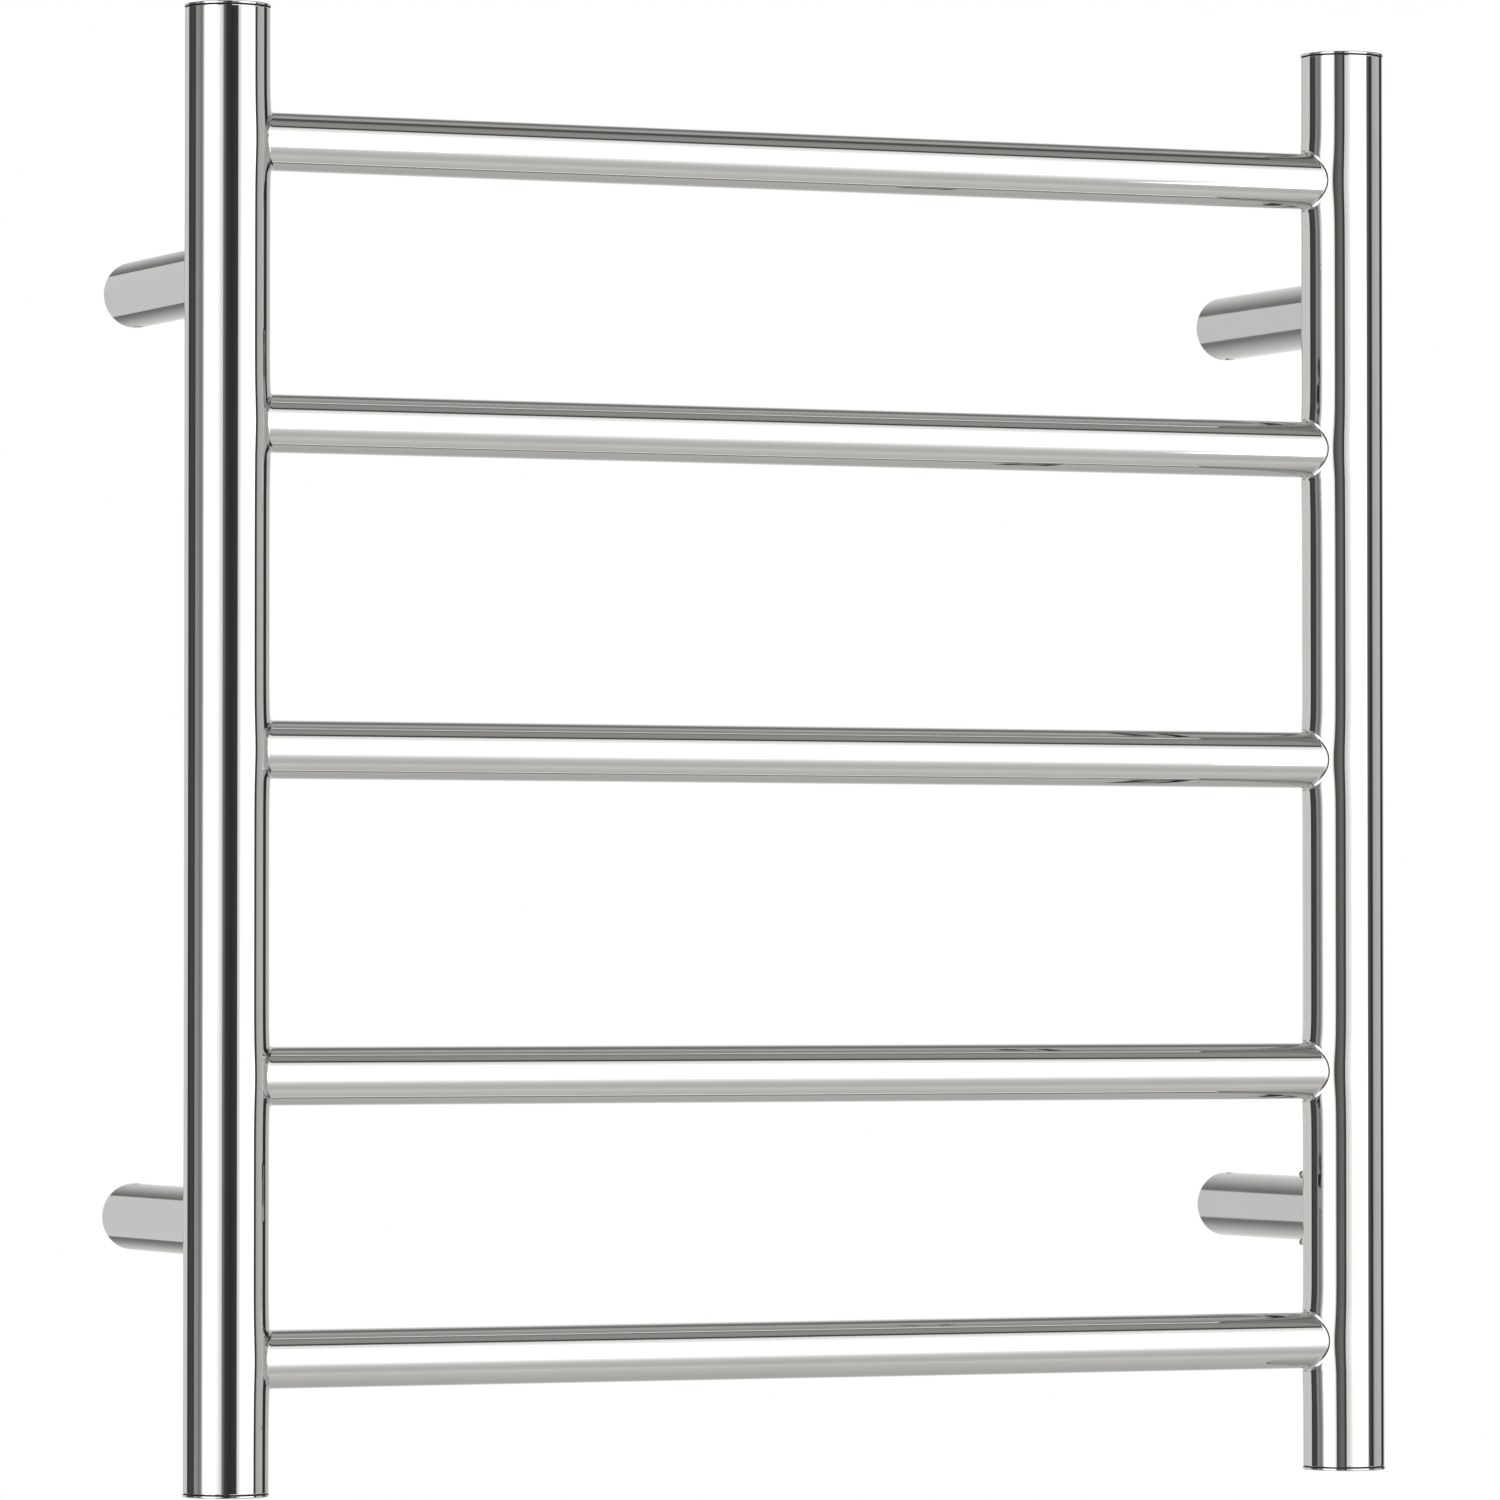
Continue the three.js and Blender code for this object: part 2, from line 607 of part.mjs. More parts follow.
const leadExit = new THREE.Vector3(RIGHT, leadEnd + GAP, -BRACKET_HEIGHT);
const liveStart = leadExit.clone().setX(RIGHT - LEAD_OFFSET);
const neutralStart = leadExit.clone().setX(RIGHT + LEAD_OFFSET);
const earthStart = new THREE.Vector3(RIGHT, SPIGOT_END, -BRACKET_HEIGHT + LUG_OFFSET).add(EARTH_LEAD_START);
addPart("live_wire", wire(leadRoute(liveStart, RIGHT - POLE_PITCH), WIRE_RADIUS), MATERIALS.liveWire);
addPart("neutral_wire", wire(leadRoute(neutralStart, RIGHT), WIRE_RADIUS), MATERIALS.neutralWire);
addPart("earth_wire", wire(leadRoute(earthStart, RIGHT + POLE_PITCH), WIRE_RADIUS), MATERIALS.earthWire);

// The cold lead turns down inside the right post and meets the heating cable in the cold joint.
const jointTop = -BRACKET_HEIGHT - CABLE_BEND - JOINT_DROP;
const jointBottom = jointTop - COLD_JOINT_LENGTH;
const coldRoute = [
  new THREE.Vector3(RIGHT, leadEnd, -BRACKET_HEIGHT),
  new THREE.Vector3(RIGHT, -POST_DEPTH, -BRACKET_HEIGHT),
  new THREE.Vector3(RIGHT, -POST_DEPTH, jointTop + GAP),
];
addPart("cold_lead", wire(roundCorners(coldRoute, CABLE_BEND), COLD_LEAD_RADIUS), MATERIALS.leadSheath);
const jointProfile = [
  [0, jointBottom],
  [COLD_JOINT_RADIUS - JOINT_NECK, jointBottom],
  [COLD_JOINT_RADIUS, jointBottom + JOINT_TAPER],
  [COLD_JOINT_RADIUS, jointTop - JOINT_TAPER],
  [COLD_JOINT_RADIUS - JOINT_NECK, jointTop],
  [0, jointTop],
];
addPart("cold_joint", turned(jointProfile, SMALL_SIDES), MATERIALS.heatShrink, [RIGHT, -POST_DEPTH, 0]);

// The heating cable runs to and fro through the rungs, from the lowest to the highest.
const heatingRoute = [new THREE.Vector3(RIGHT, -POST_DEPTH, jointBottom - GAP)];
let postX = RIGHT;
[...RUNG_HEIGHTS].reverse().forEach((height) => {
  heatingRoute.push(new THREE.Vector3(postX, -POST_DEPTH, height));
  postX = -postX;
  heatingRoute.push(new THREE.Vector3(postX, -POST_DEPTH, height));
});
const terminationStart = RUNG_HEIGHTS[0] + CABLE_BEND + TERMINATION_RISE;
heatingRoute.push(new THREE.Vector3(postX, -POST_DEPTH, terminationStart));
addPart("heating_cable", wire(roundCorners(heatingRoute, CABLE_BEND), HEATING_CABLE_RADIUS),
  MATERIALS.cableSheath);
const terminationProfile = [
  [0, GAP],
  [HEATING_CABLE_RADIUS + TERMINATION_WALL, GAP],
  [HEATING_CABLE_RADIUS + TERMINATION_WALL, END_TERMINATION_LENGTH - TERMINATION_TAPER],
  [HEATING_CABLE_RADIUS - TERMINATION_NOSE, END_TERMINATION_LENGTH],
  [0, END_TERMINATION_LENGTH],
];
addPart("end_termination", turned(terminationProfile, SMALL_SIDES), MATERIALS.heatShrink,
  [postX, -POST_DEPTH, terminationStart]);

export default rail;
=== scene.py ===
"""Heated towel rail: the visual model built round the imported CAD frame.

Lengths are in metres, in the frame's own axes: +X right, +Y into the wall, +Z up, origin on the wall midway
between the four brackets. Tubes, caps, sleeves, screws and wiring are rebuilt here as smooth meshes in the
places that the frame gives.
"""

import math

import bmesh
import bpy
import numpy as np
from mathutils import Matrix, Vector


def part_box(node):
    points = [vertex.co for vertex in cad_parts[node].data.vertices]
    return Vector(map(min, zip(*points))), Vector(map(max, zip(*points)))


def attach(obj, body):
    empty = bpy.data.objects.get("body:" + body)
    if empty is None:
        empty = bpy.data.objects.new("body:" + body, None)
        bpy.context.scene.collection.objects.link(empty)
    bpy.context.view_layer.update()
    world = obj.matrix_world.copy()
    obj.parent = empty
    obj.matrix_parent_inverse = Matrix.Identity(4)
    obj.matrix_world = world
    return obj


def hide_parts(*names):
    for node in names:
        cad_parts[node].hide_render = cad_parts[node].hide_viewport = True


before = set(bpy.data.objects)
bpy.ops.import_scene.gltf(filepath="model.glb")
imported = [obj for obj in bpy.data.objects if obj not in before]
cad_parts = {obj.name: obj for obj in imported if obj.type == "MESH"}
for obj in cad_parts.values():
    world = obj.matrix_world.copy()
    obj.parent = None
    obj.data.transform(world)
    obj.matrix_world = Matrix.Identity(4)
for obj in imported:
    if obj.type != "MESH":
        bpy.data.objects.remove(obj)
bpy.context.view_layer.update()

MM = 0.001
X_AXIS = Vector((1, 0, 0))
Y_AXIS = Vector((0, 1, 0))
Z_AXIS = Vector((0, 0, 1))
CORNERS = ["upper_left", "upper_right", "lower_left", "lower_right"]
WIRED = "lower_right"

# ---- sizes read from the frame


def centre(node):
    low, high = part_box(node)
    return (low + high) / 2


def half_size(node):
    low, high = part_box(node)
    return (high - low) / 2


POST_R = half_size("left_post").x
POST_Y = centre("left_post").y
TUBE_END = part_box("left_post")[1].z
POST_X = {"left": centre("left_post").x, "right": centre("right_post").x}
RUNGS = [f"rung_{i}" for i in range(1, 6)]
RUNG_R = half_size("rung_1").z
RUNG_Z = [centre(name).z for name in RUNGS]
SLEEVE_R = half_size("bracket_sleeve_upper_left").x
SLEEVE_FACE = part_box("bracket_sleeve_upper_left")[1].y
BRACKET = {name: centre(f"bracket_sleeve_{name}") for name in CORNERS}
CAP_R = half_size("end_cap_upper_left").x
CAP_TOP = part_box("end_cap_upper_left")[1].z
BOSS_R = half_size("wall_boss_upper_left").x
BOSS_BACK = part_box("wall_boss_upper_left")[0].y
RETAINING_Y = centre("retaining_screw_top").y
SPIGOT_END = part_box("bracket_spigot")[1].y
BLOCK_Y = centre("terminal_block").y

# Details inside those sizes, as in the CAD source.
GAP = 0.3 * MM
POST_BORE = POST_R - 1.5 * MM
RUNG_BORE = RUNG_R - 1.2 * MM
SLEEVE_BORE = 11.2 * MM
SLEEVE_CHAMFER = 0.8 * MM
MOUTH_BORE = 9 * MM
MOUTH_LENGTH = 22 * MM
MOUTH_CHAMFER = 0.4 * MM
MOUTH_TAPER = 2 * MM
PLUG_R = 14.1 * MM
PLUG_BORE = 10.5 * MM
PLUG_LENGTH = 7 * MM
PLUG_CHAMFER = 0.6 * MM
GROOVE_R = 12.4 * MM
GROOVE_DEPTH = 3.5 * MM
GROOVE_WIDTH = 2.2 * MM
SEAL_R = 13.45 * MM
SEAL_THICKNESS = 1.5 * MM
BOSS_CHAMFER = 0.6 * MM
WALL_SCREW_HOLE = 2.5 * MM
WALL_SCREW_HEAD = 5.2 * MM
WALL_SCREW_SINK = 6 * MM
COUNTERSINK_DEPTH = 3 * MM
CABLE_BORE = 4.3 * MM
SIDE_SCREW_HOLE = 1.5 * MM
SIDE_SCREW_OFFSET = 6.5 * MM
GROMMET_R = 4 * MM
GROMMET_BORE = 3.2 * MM
GROMMET_FLANGE = 4.9 * MM
GROMMET_FLANGE_THICKNESS = 1.2 * MM
GROMMET_LENGTH = 12 * MM
SET_SCREW_Y = -7.5 * MM
SET_SCREW_R = 2.2 * MM
SET_SCREW_LOW = MOUTH_BORE
SET_SCREW_TOP = 12.4 * MM
CUP_R = 1.2 * MM
CUP_DEPTH = 0.5 * MM
SOCKET_FLATS = 2.5 * MM
SOCKET_DEPTH = 1.8 * MM
RETAINING_HEAD = 1.7 * MM
RETAINING_HEAD_HEIGHT = 1.9 * MM
RETAINING_SHANK = 0.9 * MM
RETAINING_TIP = 7 * MM
RETAINING_SEAT = SLEEVE_R + 0.1 * MM
RETAINING_SOCKET_FLOOR = 0.9 * MM
RETAINING_SOCKET_FLATS = 1.3 * MM
SPIGOT_R = 10.9 * MM
SPIGOT_BORE = 6 * MM
CABLE_R = 2.5 * MM
CABLE_HOLE_R = 6 * MM
CABLE_BEND = 11 * MM
LEAD_R = 2.2 * MM
WIRE_R = 0.8 * MM
LEAD_OFFSET = 1.1 * MM
LEAD_STRAIGHT = 1.5 * MM
LEAD_DEPTH = 4 * MM
LEAD_END_GAP = 3 * MM
JOINT_R = 4 * MM
JOINT_LENGTH = 22 * MM
JOINT_DROP = 3 * MM
JOINT_TAPER = 3 * MM
JOINT_NECK = 1.2 * MM
TERMINATION_LENGTH = 18 * MM
TERMINATION_RISE = 4 * MM
TERMINATION_WALL = 0.9 * MM
TERMINATION_TAPER = 2 * MM
TERMINATION_NOSE = 0.5 * MM
BLOCK_LENGTH = 20 * MM
BLOCK_DROP = 3.4 * MM
POLE_PITCH = 4.9 * MM
LUG_OFFSET = 8 * MM
LUG_R = 2.8 * MM
LUG_HOLE = 1.5 * MM
LUG_THICKNESS = 0.8 * MM
LUG_SCREW_SHANK = 1.2 * MM
LUG_SCREW_LENGTH = 5 * MM
LUG_SCREW_HEAD = 2.3 * MM
LUG_SCREW_HEAD_HEIGHT = 1.4 * MM

# Finer than the CAD source: the caps' rims, and the seams under them, darkened with painted shade on the
# plug.
CAP_RIM = 1.1 * MM
CAP_ROUND = 0.7 * MM
CAP_SEAM = 0.5 * MM
DOME_INSET = 1.0 * MM
DOME_POWER = 2.2
DOME_STEPS = 12

# The welds between tubes: a small fillet, and the slight swelling of the post round it.
WELD_R = 2.0 * MM
WELD_STEPS = 10
SWELL = 0.32 * MM
SWELL_REACH = 3.5 * MM
SWELL_FADE = 0.45 * POST_R
SINK = 0.02 * MM

# How far from the post's surface a tube's straight run starts, and how far a tool runs past what it cuts.
STRAIGHT_FROM = 4 * MM
OVERRUN = 3 * MM

# How many sides a round piece has.
POST_SIDES = 144
TUBE_SIDES = 128
RING_SIDES = 96
SCREW_SIDES = 72
HOLE_SIDES = 64
SMALL_SIDES = 48
DRILL_SIDES = 32
CABLE_SIDES = 24
SEAL_SIDES = 20
WIRE_SIDES = 16

# ---- camera

CAMERA_PLACE = Vector((-1.3708, -3.2536, -0.0814))
CAMERA_AZIMUTH = math.radians(-23.214)
CAMERA_PITCH = math.radians(1.39)
LENS_MM = 214.2
SENSOR_MM = 36
VIEW_DEPTH = 50


def add_camera():
    data = bpy.data.cameras.new("camera")
    data.lens = LENS_MM
    data.sensor_width = SENSOR_MM
    data.clip_end = VIEW_DEPTH
    camera = bpy.data.objects.new("camera", data)
    camera.location = CAMERA_PLACE
    camera.rotation_euler = (math.radians(90) + CAMERA_PITCH, 0, CAMERA_AZIMUTH)
    bpy.context.collection.objects.link(camera)
    bpy.context.scene.camera = camera


# ---- node helpers


def link(tree, source, target):
    tree.links.new(source, target)


def maths(tree, operation, a, b=None):
    node = tree.nodes.new("ShaderNodeMath")
    node.operation = operation
    for socket, value in zip(node.inputs, (a, b)):
        if value is None:
            continue
        if isinstance(value, (int, float)):
            socket.default_value = value
        else:
            link(tree, value, socket)
    return node.outputs[0]


def map_range(tree, value, source, target=(0, 1), smooth=False):
    """Maps a value from the limits in source to those in target, and holds it there beyond them."""
    node = tree.nodes.new("ShaderNodeMapRange")
    node.interpolation_type = "SMOOTHSTEP" if smooth else "LINEAR"
    link(tree, value, node.inputs["Value"])
    names = ("From Min", "From Max", "To Min", "To Max")
    for name, limit in zip(names, (*source, *target)):
        node.inputs[name].default_value = limit
    return node.outputs["Result"]


def mix_colour(tree, factor, a, b):
    node = tree.nodes.new("ShaderNodeMix")
    node.data_type = "RGBA"
    link(tree, factor, node.inputs[0])
    for socket, value in ((node.inputs[6], a), (node.inputs[7], b)):
        if isinstance(value, tuple):
            socket.default_value = value
        else:
            link(tree, value, socket)
    return node.outputs[2]


# ---- studio

# Greys are sRGB values, as polished steel shows them. White is the brightest light, past a display's 255.
WHITE = 285
STEEL_REFLECTANCE = 0.66
WARMTH = 0.03

# What upright tubes reflect of the far studio, by the azimuth in degrees from the front, positive to the
# right: grey behind, white at the sides, and a dark gap round the camera with one paler streak in it.
AROUND = [
    (-180, 196), (-168, 190), (-154, 184), (-145, 196), (-122, 190), (-121, 137), (-109, 136),
    (-103, 134), (-98, 108), (-95, 120), (-91, 124), (-87, 205), (-82, WHITE), (-50, WHITE), (-49.5, 62),
    (-40, 82), (-33, 102), (-27, 102), (-23, 56), (-8, 44), (9, 58), (11.2, 60), (11.6, WHITE),
    (46, WHITE), (47, 112), (53, 82), (60, 46), (67, 60), (69, 158), (76, 168), (90, 174), (108, 172),
    (126, 168), (180, 196),
]

# What level tubes reflect, by the angle in degrees from the front, positive upwards.
OVERHEAD = [
    (-180, 200), (-162, 188), (-148, 168), (-136, 160), (-112, 165), (-98, 171), (-86, 174), (-70, 182),
    (-60, 192), (-57, 180), (-47, 172), (-38, 180), (-30, 194), (-20, 240), (-12, WHITE), (34, WHITE),
    (41, 242), (50, 220), (54, 204), (55.5, 62), (61, 58), (62.5, 134), (76, 138), (86, 118), (89, 70),
    (100, 80), (103, 152), (119, 158), (122, 106), (139, 110), (143, 140), (152, 190), (180, 200),
]

# What the brackets reflect above and below the flat backdrop, by the angle in degrees from its edge.
HALO = [(0, 96), (7, 106), (18, 122), (32, 145), (46, 162), (64, 175), (84, 186), (104, 196), (134, 200)]
BACKDROP_GREY = 190
BACKGROUND = (1.0, 1.0, 1.0, 1)

# The limits between which one part of the studio gives way to the next, in a unit direction's x, its height
# or its y. Right of the middle, the light from above starts low. Left of it, the dark gap stands tall.
MIDDLE = (-0.14, -0.09)
LOW_START = (0.17, 0.3)
TALL_START = (0.65, 0.88)
BEHIND = (0.83, 0.87)
# The straighter a direction points at the wall, the further from level the flat backdrop ends.
EDGE_DEPTH = (0.891, 0.94)
EDGE_ANGLE = (math.radians(46.6), math.radians(76))

# Upright panels near the rail that show only in reflections: the plan positions of both edges, the half
# height, and greys by the share of the way from the first edge to the second.
PANELS = {
    "left_softbox": ((-0.831, -1.0998), (-2.953, -2.356), 0.8,
                     [(0, 170), (0.02, 198), (0.07, 212), (0.17, 228), (0.32, 245), (0.49, 251),
                      (0.7, WHITE)]),
    "right_softbox": ((-0.0866, -1.037), (0.6353, -1.9956), 0.5,
                      [(0, 186), (0.02, 203), (0.13, 210), (0.25, 228), (0.36, 243), (0.55, WHITE)]),
    "side_softbox": ((0.70, -1.10), (0.9945, -0.815), 0.45, [(0, WHITE), (0.9, WHITE), (1, 230)]),
    "side_flag": ((0.5283, -0.0326), (0.8202, 0.3199), 0.45, [(0, 46), (1, 40)]),
    "back_flag": ((-0.75, 0.7198), (-1.1247, 0.3094), 0.8, [(0, 50), (0.6, 67), (1, 56)]),
}

FLOOR_Z = -0.75
FLOOR_R = 6.0
FLOOR_SIDES = 96
FLOOR_COLOUR = (0.93, 0.93, 0.93, 1)
FLOOR_ROUGHNESS = 0.9
FLOOR_GLOW = 0.3


def linear(value):
    """An sRGB value from 0 to 255 in linear light."""
    share = value / 255
    return share / 12.92 if share <= 0.04045 else ((share + 0.055) / 1.055) ** 2.4


def seen_as(value):
    """The studio's light that polished steel shows as this grey, a little warmer the darker it is."""
    light = linear(value) / STEEL_REFLECTANCE
    warmth = WARMTH * (1 - value / WHITE)
    return (light * (1 + warmth), light, light * (1 - 2 * warmth), 1)


def add_ramp(tree, value, stops):
    """A colour ramp from (position, grey) stops, with positions from 0 to 1."""
    node = tree.nodes.new("ShaderNodeValToRGB")
    elements = node.color_ramp.elements
    while len(elements) < len(stops):
        elements.new(0.5)
    for element, (place, grey) in zip(elements, stops):
        element.position = place
        element.color = seen_as(grey)
    link(tree, value, node.inputs[0])
    return node.outputs[0]


def ramp_by_angle(tree, angle, stops):
    """The greys of a full turn of the studio, for an angle in radians. Two ramps share its stops."""
    half = len(stops) // 2
    share = map_range(tree, angle, (-math.pi, math.pi))
    placed = [((degrees + 180) / 360, grey) for degrees, grey in stops]
    first = add_ramp(tree, share, placed[:half + 1])
    second = add_ramp(tree, share, placed[half:])
    return mix_colour(tree, maths(tree, "GREATER_THAN", share, placed[half][0]), first, second)


def in_front(tree, x, y, z, height):
    """What the studio shows in front, at the sides and overhead, for a direction."""
    forward = maths(tree, "MULTIPLY", y, -1.0)
    level = ramp_by_angle(tree, maths(tree, "ARCTAN2", x, forward), AROUND)
    upright = ramp_by_angle(tree, maths(tree, "ARCTAN2", z, forward), OVERHEAD)
    above_right = maths(tree, "MULTIPLY", map_range(tree, height, LOW_START, smooth=True),
                        map_range(tree, x, MIDDLE))
    above_gap = map_range(tree, height, TALL_START, smooth=True)
    return mix_colour(tree, maths(tree, "MAXIMUM", above_right, above_gap), level, upright)


def behind_rail(tree, x, y, height):
    """A flat grey backdrop to the left, and softer light above and below it, for a direction."""
    leftward = maths(tree, "MULTIPLY", x, -1.0)
    roll = maths(tree, "ARCTAN2", height, leftward)
    edge = map_range(tree, y, EDGE_DEPTH, EDGE_ANGLE)
    reach = HALO[-1][0]
    beyond = map_range(tree, maths(tree, "SUBTRACT", roll, edge), (0, math.radians(reach)))
    halo = add_ramp(tree, beyond, [(degrees / reach, grey) for degrees, grey in HALO])
    return mix_colour(tree, maths(tree, "LESS_THAN", roll, edge), halo, seen_as(BACKDROP_GREY))


def add_world():
    """The far studio, which reflections show, and the plain background, which the camera sees."""
    world = bpy.data.worlds.new("studio")
    bpy.context.scene.world = world
    world.use_nodes = True
    tree = world.node_tree
    tree.nodes.clear()
    coordinates = tree.nodes.new("ShaderNodeTexCoord")
    split = tree.nodes.new("ShaderNodeSeparateXYZ")
    link(tree, coordinates.outputs["Generated"], split.inputs[0])
    x, y, z = split.outputs
    height = maths(tree, "ABSOLUTE", z)
    reflected = mix_colour(tree, map_range(tree, y, BEHIND), in_front(tree, x, y, z, height),
                           behind_rail(tree, x, y, height))
    path = tree.nodes.new("ShaderNodeLightPath")
    colour = mix_colour(tree, path.outputs["Is Camera Ray"], reflected, BACKGROUND)
    background = tree.nodes.new("ShaderNodeBackground")
    link(tree, colour, background.inputs["Color"])
    output = tree.nodes.new("ShaderNodeOutputWorld")
    link(tree, background.outputs[0], output.inputs["Surface"])


def add_panel(name, first, second, half_height, stops):
    corners = [(*first, -half_height), (*second, -half_height), (*second, half_height),
               (*first, half_height)]
    panel = new_object(name, corners, [(0, 1, 2, 3)])
    material = bpy.data.materials.new(name)
    material.use_nodes = True
    tree = material.node_tree
    tree.nodes.clear()
    place = tree.nodes.new("ShaderNodeNewGeometry").outputs["Position"]
    split = tree.nodes.new("ShaderNodeSeparateXYZ")
    link(tree, place, split.inputs[0])
    along = map_range(tree, split.outputs[0], (first[0], second[0]))
    emission = tree.nodes.new("ShaderNodeEmission")
    link(tree, add_ramp(tree, along, stops), emission.inputs["Color"])
    output = tree.nodes.new("ShaderNodeOutputMaterial")
    link(tree, emission.outputs[0], output.inputs["Surface"])
    panel.data.materials.append(material)
    panel.visible_camera = False
    panel.visible_diffuse = False
    panel.visible_shadow = False
    return panel


def add_floor():
    """A pale floor well below the rail. Its underside is clear, so that the rail shows from below too."""
    ring = [(FLOOR_R * math.cos(turn), FLOOR_R * math.sin(turn), FLOOR_Z) for turn in turns(FLOOR_SIDES)]
    floor = new_object("floor", ring, [tuple(range(FLOOR_SIDES))])
    material = bpy.data.materials.new("pale_floor")
    material.use_nodes = True
    tree = material.node_tree
    shader = tree.nodes["Principled BSDF"]
    shader.inputs["Base Color"].default_value = FLOOR_COLOUR
    shader.inputs["Roughness"].default_value = FLOOR_ROUGHNESS
    shader.inputs["Specular IOR Level"].default_value = 0.0
    shader.inputs["Emission Color"].default_value = FLOOR_COLOUR
    shader.inputs["Emission Strength"].default_value = FLOOR_GLOW
    either = tree.nodes.new("ShaderNodeMixShader")
    link(tree, tree.nodes.new("ShaderNodeNewGeometry").outputs["Backfacing"], either.inputs["Fac"])
    link(tree, shader.outputs[0], either.inputs[1])
    link(tree, tree.nodes.new("ShaderNodeBsdfTransparent").outputs[0], either.inputs[2])
    link(tree, either.outputs[0], tree.nodes["Material Output"].inputs["Surface"])
    floor.data.materials.append(material)
    floor.visible_glossy = False
    return floor


def add_stage():
    add_floor()
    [add_panel(name, *panel) for name, panel in PANELS.items()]


# ---- mesh helpers

# An arc turns by at most this much at each step. It takes at most CORNER_SHARE of a straight run beside it,
# and a guard point stands beyond each of its ends, a GUARD of the arc's own reach away.
ARC_STEP_DEGREES = 15
CORNER_SHARE = 0.45
GUARD = 0.15
BEND_STEPS = 10

# Edges sharper than this many degrees stay sharp. The tubes with welds have a wider limit.
SHARP = 35
WELDED_SHARP = 50


def turns(sides):
    """The angles of a round piece's sides."""
    return [2 * math.pi * k / sides for k in range(sides)]


def new_object(name, points, faces):
    mesh = bpy.data.meshes.new(name)
    mesh.from_pydata([tuple(p) for p in points], [], faces)
    mesh.validate()
    obj = bpy.data.objects.new(name, mesh)
    bpy.context.collection.objects.link(obj)
    return obj


def clean(obj, sharp_degrees=SHARP):
    """Merges doubled points, turns every face outwards and shades the piece smooth up to its edges."""
    work = bmesh.new()
    work.from_mesh(obj.data)
    bmesh.ops.remove_doubles(work, verts=work.verts, dist=1e-6)
    bmesh.ops.dissolve_degenerate(work, edges=work.edges, dist=1e-7)
    bmesh.ops.recalc_face_normals(work, faces=work.faces)
    work.to_mesh(obj.data)
    work.free()
    obj.data.shade_smooth()
    obj.data.set_sharp_from_angle(angle=math.radians(sharp_degrees))
    obj.data.update()
    return obj


def grid_object(name, rows, close_rows):
    """A closed-round grid of points as a mesh. rows is rows x columns x 3, and the columns go round."""
    count, columns, _ = rows.shape
    last = count if close_rows else count - 1
    faces = []
    for i in range(last):
        below = i * columns
        above = ((i + 1) % count) * columns
        for k in range(columns):
            after = (k + 1) % columns
            faces.append((below + k, below + after, above + after, above + k))
    return new_object(name, rows.reshape(-1, 3), faces)


def angle_between(a, b):
    """The angle between two unit vectors."""
    return math.acos(max(-1.0, min(1.0, float(a @ b))))


def arc_corner(here, before, after, corner):
    """An arc of a corner radius at a point between its neighbours, with its guard points."""
    to_before = before - here
    to_after = after - here
    long_before = np.linalg.norm(to_before)
    long_after = np.linalg.norm(to_after)
    to_before = to_before / long_before
    to_after = to_after / long_after
    angle = angle_between(to_before, to_after)
    if angle > math.pi - 1e-3:
        return [here]
    reach = min(corner / math.tan(angle / 2), CORNER_SHARE * long_before, CORNER_SHARE * long_after)
    radius = reach * math.tan(angle / 2)
    middle = (to_before + to_after) / np.linalg.norm(to_before + to_after)
    hub = here + middle * radius / math.sin(angle / 2)
    steps = max(2, math.ceil(math.degrees(math.pi - angle) / ARC_STEP_DEGREES))
    start = math.atan2(*(here + to_before * reach - hub)[::-1])
    turn = math.atan2(*(here + to_after * reach - hub)[::-1]) - start
    turn = (turn + math.pi) % (2 * math.pi) - math.pi
    points = []
    if long_before - reach > 2 * GUARD * reach:
        points.append(here + to_before * (1 + GUARD) * reach)
    for k in range(steps + 1):
        t = start + turn * k / steps
        points.append(hub + radius * np.array([math.cos(t), math.sin(t)]))
    if long_after - reach > 2 * GUARD * reach:
        points.append(here + to_after * (1 + GUARD) * reach)
    return points


def rounded(outline):
    """An open outline of (radius, height, corner radius) points with its corners turned into arcs.

    A guard point just beyond each arc's ends keeps the shading of the straight runs flat.
    """
    points = []
    places = [np.array(point[:2], float) for point in outline]
    for i, (_, _, corner) in enumerate(outline):
        if corner > 0 and 0 < i < len(outline) - 1:
            points += arc_corner(places[i], places[i - 1], places[i + 1], corner)
        else:
            points.append(places[i])
    return np.array(points)


def axes_for(axis):
    """Two unit vectors square to an axis, which with it make a right-handed set."""
    axis = axis.normalized()
    side = X_AXIS if abs(axis.x) < 0.9 else Y_AXIS
    first = (side - axis * side.dot(axis)).normalized()
    return first, axis.cross(first)


def revolve(name, outline, origin, axis, sides=SMALL_SIDES, closed=False, shape=None):
    """A turned piece from (radius, height) pairs. shape may change the radius with the angle."""
    outline = np.array(outline, float)
    first, second = axes_for(axis)
    axis = axis.normalized()
    rows = np.zeros((len(outline), sides, 3))
    for k, angle in enumerate(turns(sides)):
        across = np.array(first) * math.cos(angle) + np.array(second) * math.sin(angle)
        for i, (radius, height) in enumerate(outline):
            r = shape(i, radius, height, angle) if shape else radius
            rows[i, k] = np.array(origin) + across * r + np.array(axis) * height
    return clean(grid_object(name, rows, closed))


def drill(radius, start, end, place, axis, sides=DRILL_SIDES):
    """A round tool to cut with, from start to end along an axis through a place."""
    return revolve("tool", [(0, start), (radius, start), (radius, end), (0, end)], place, axis, sides)


def box_tool(middle, size):
    """A box to cut with."""
    work = bmesh.new()
    bmesh.ops.create_cube(work, size=1.0, matrix=Matrix.Translation(middle) @ Matrix.Diagonal((*size, 1)))
    mesh = bpy.data.meshes.new("tool")
    work.to_mesh(mesh)
    work.free()
    obj = bpy.data.objects.new("tool", mesh)
    bpy.context.collection.objects.link(obj)
    return obj


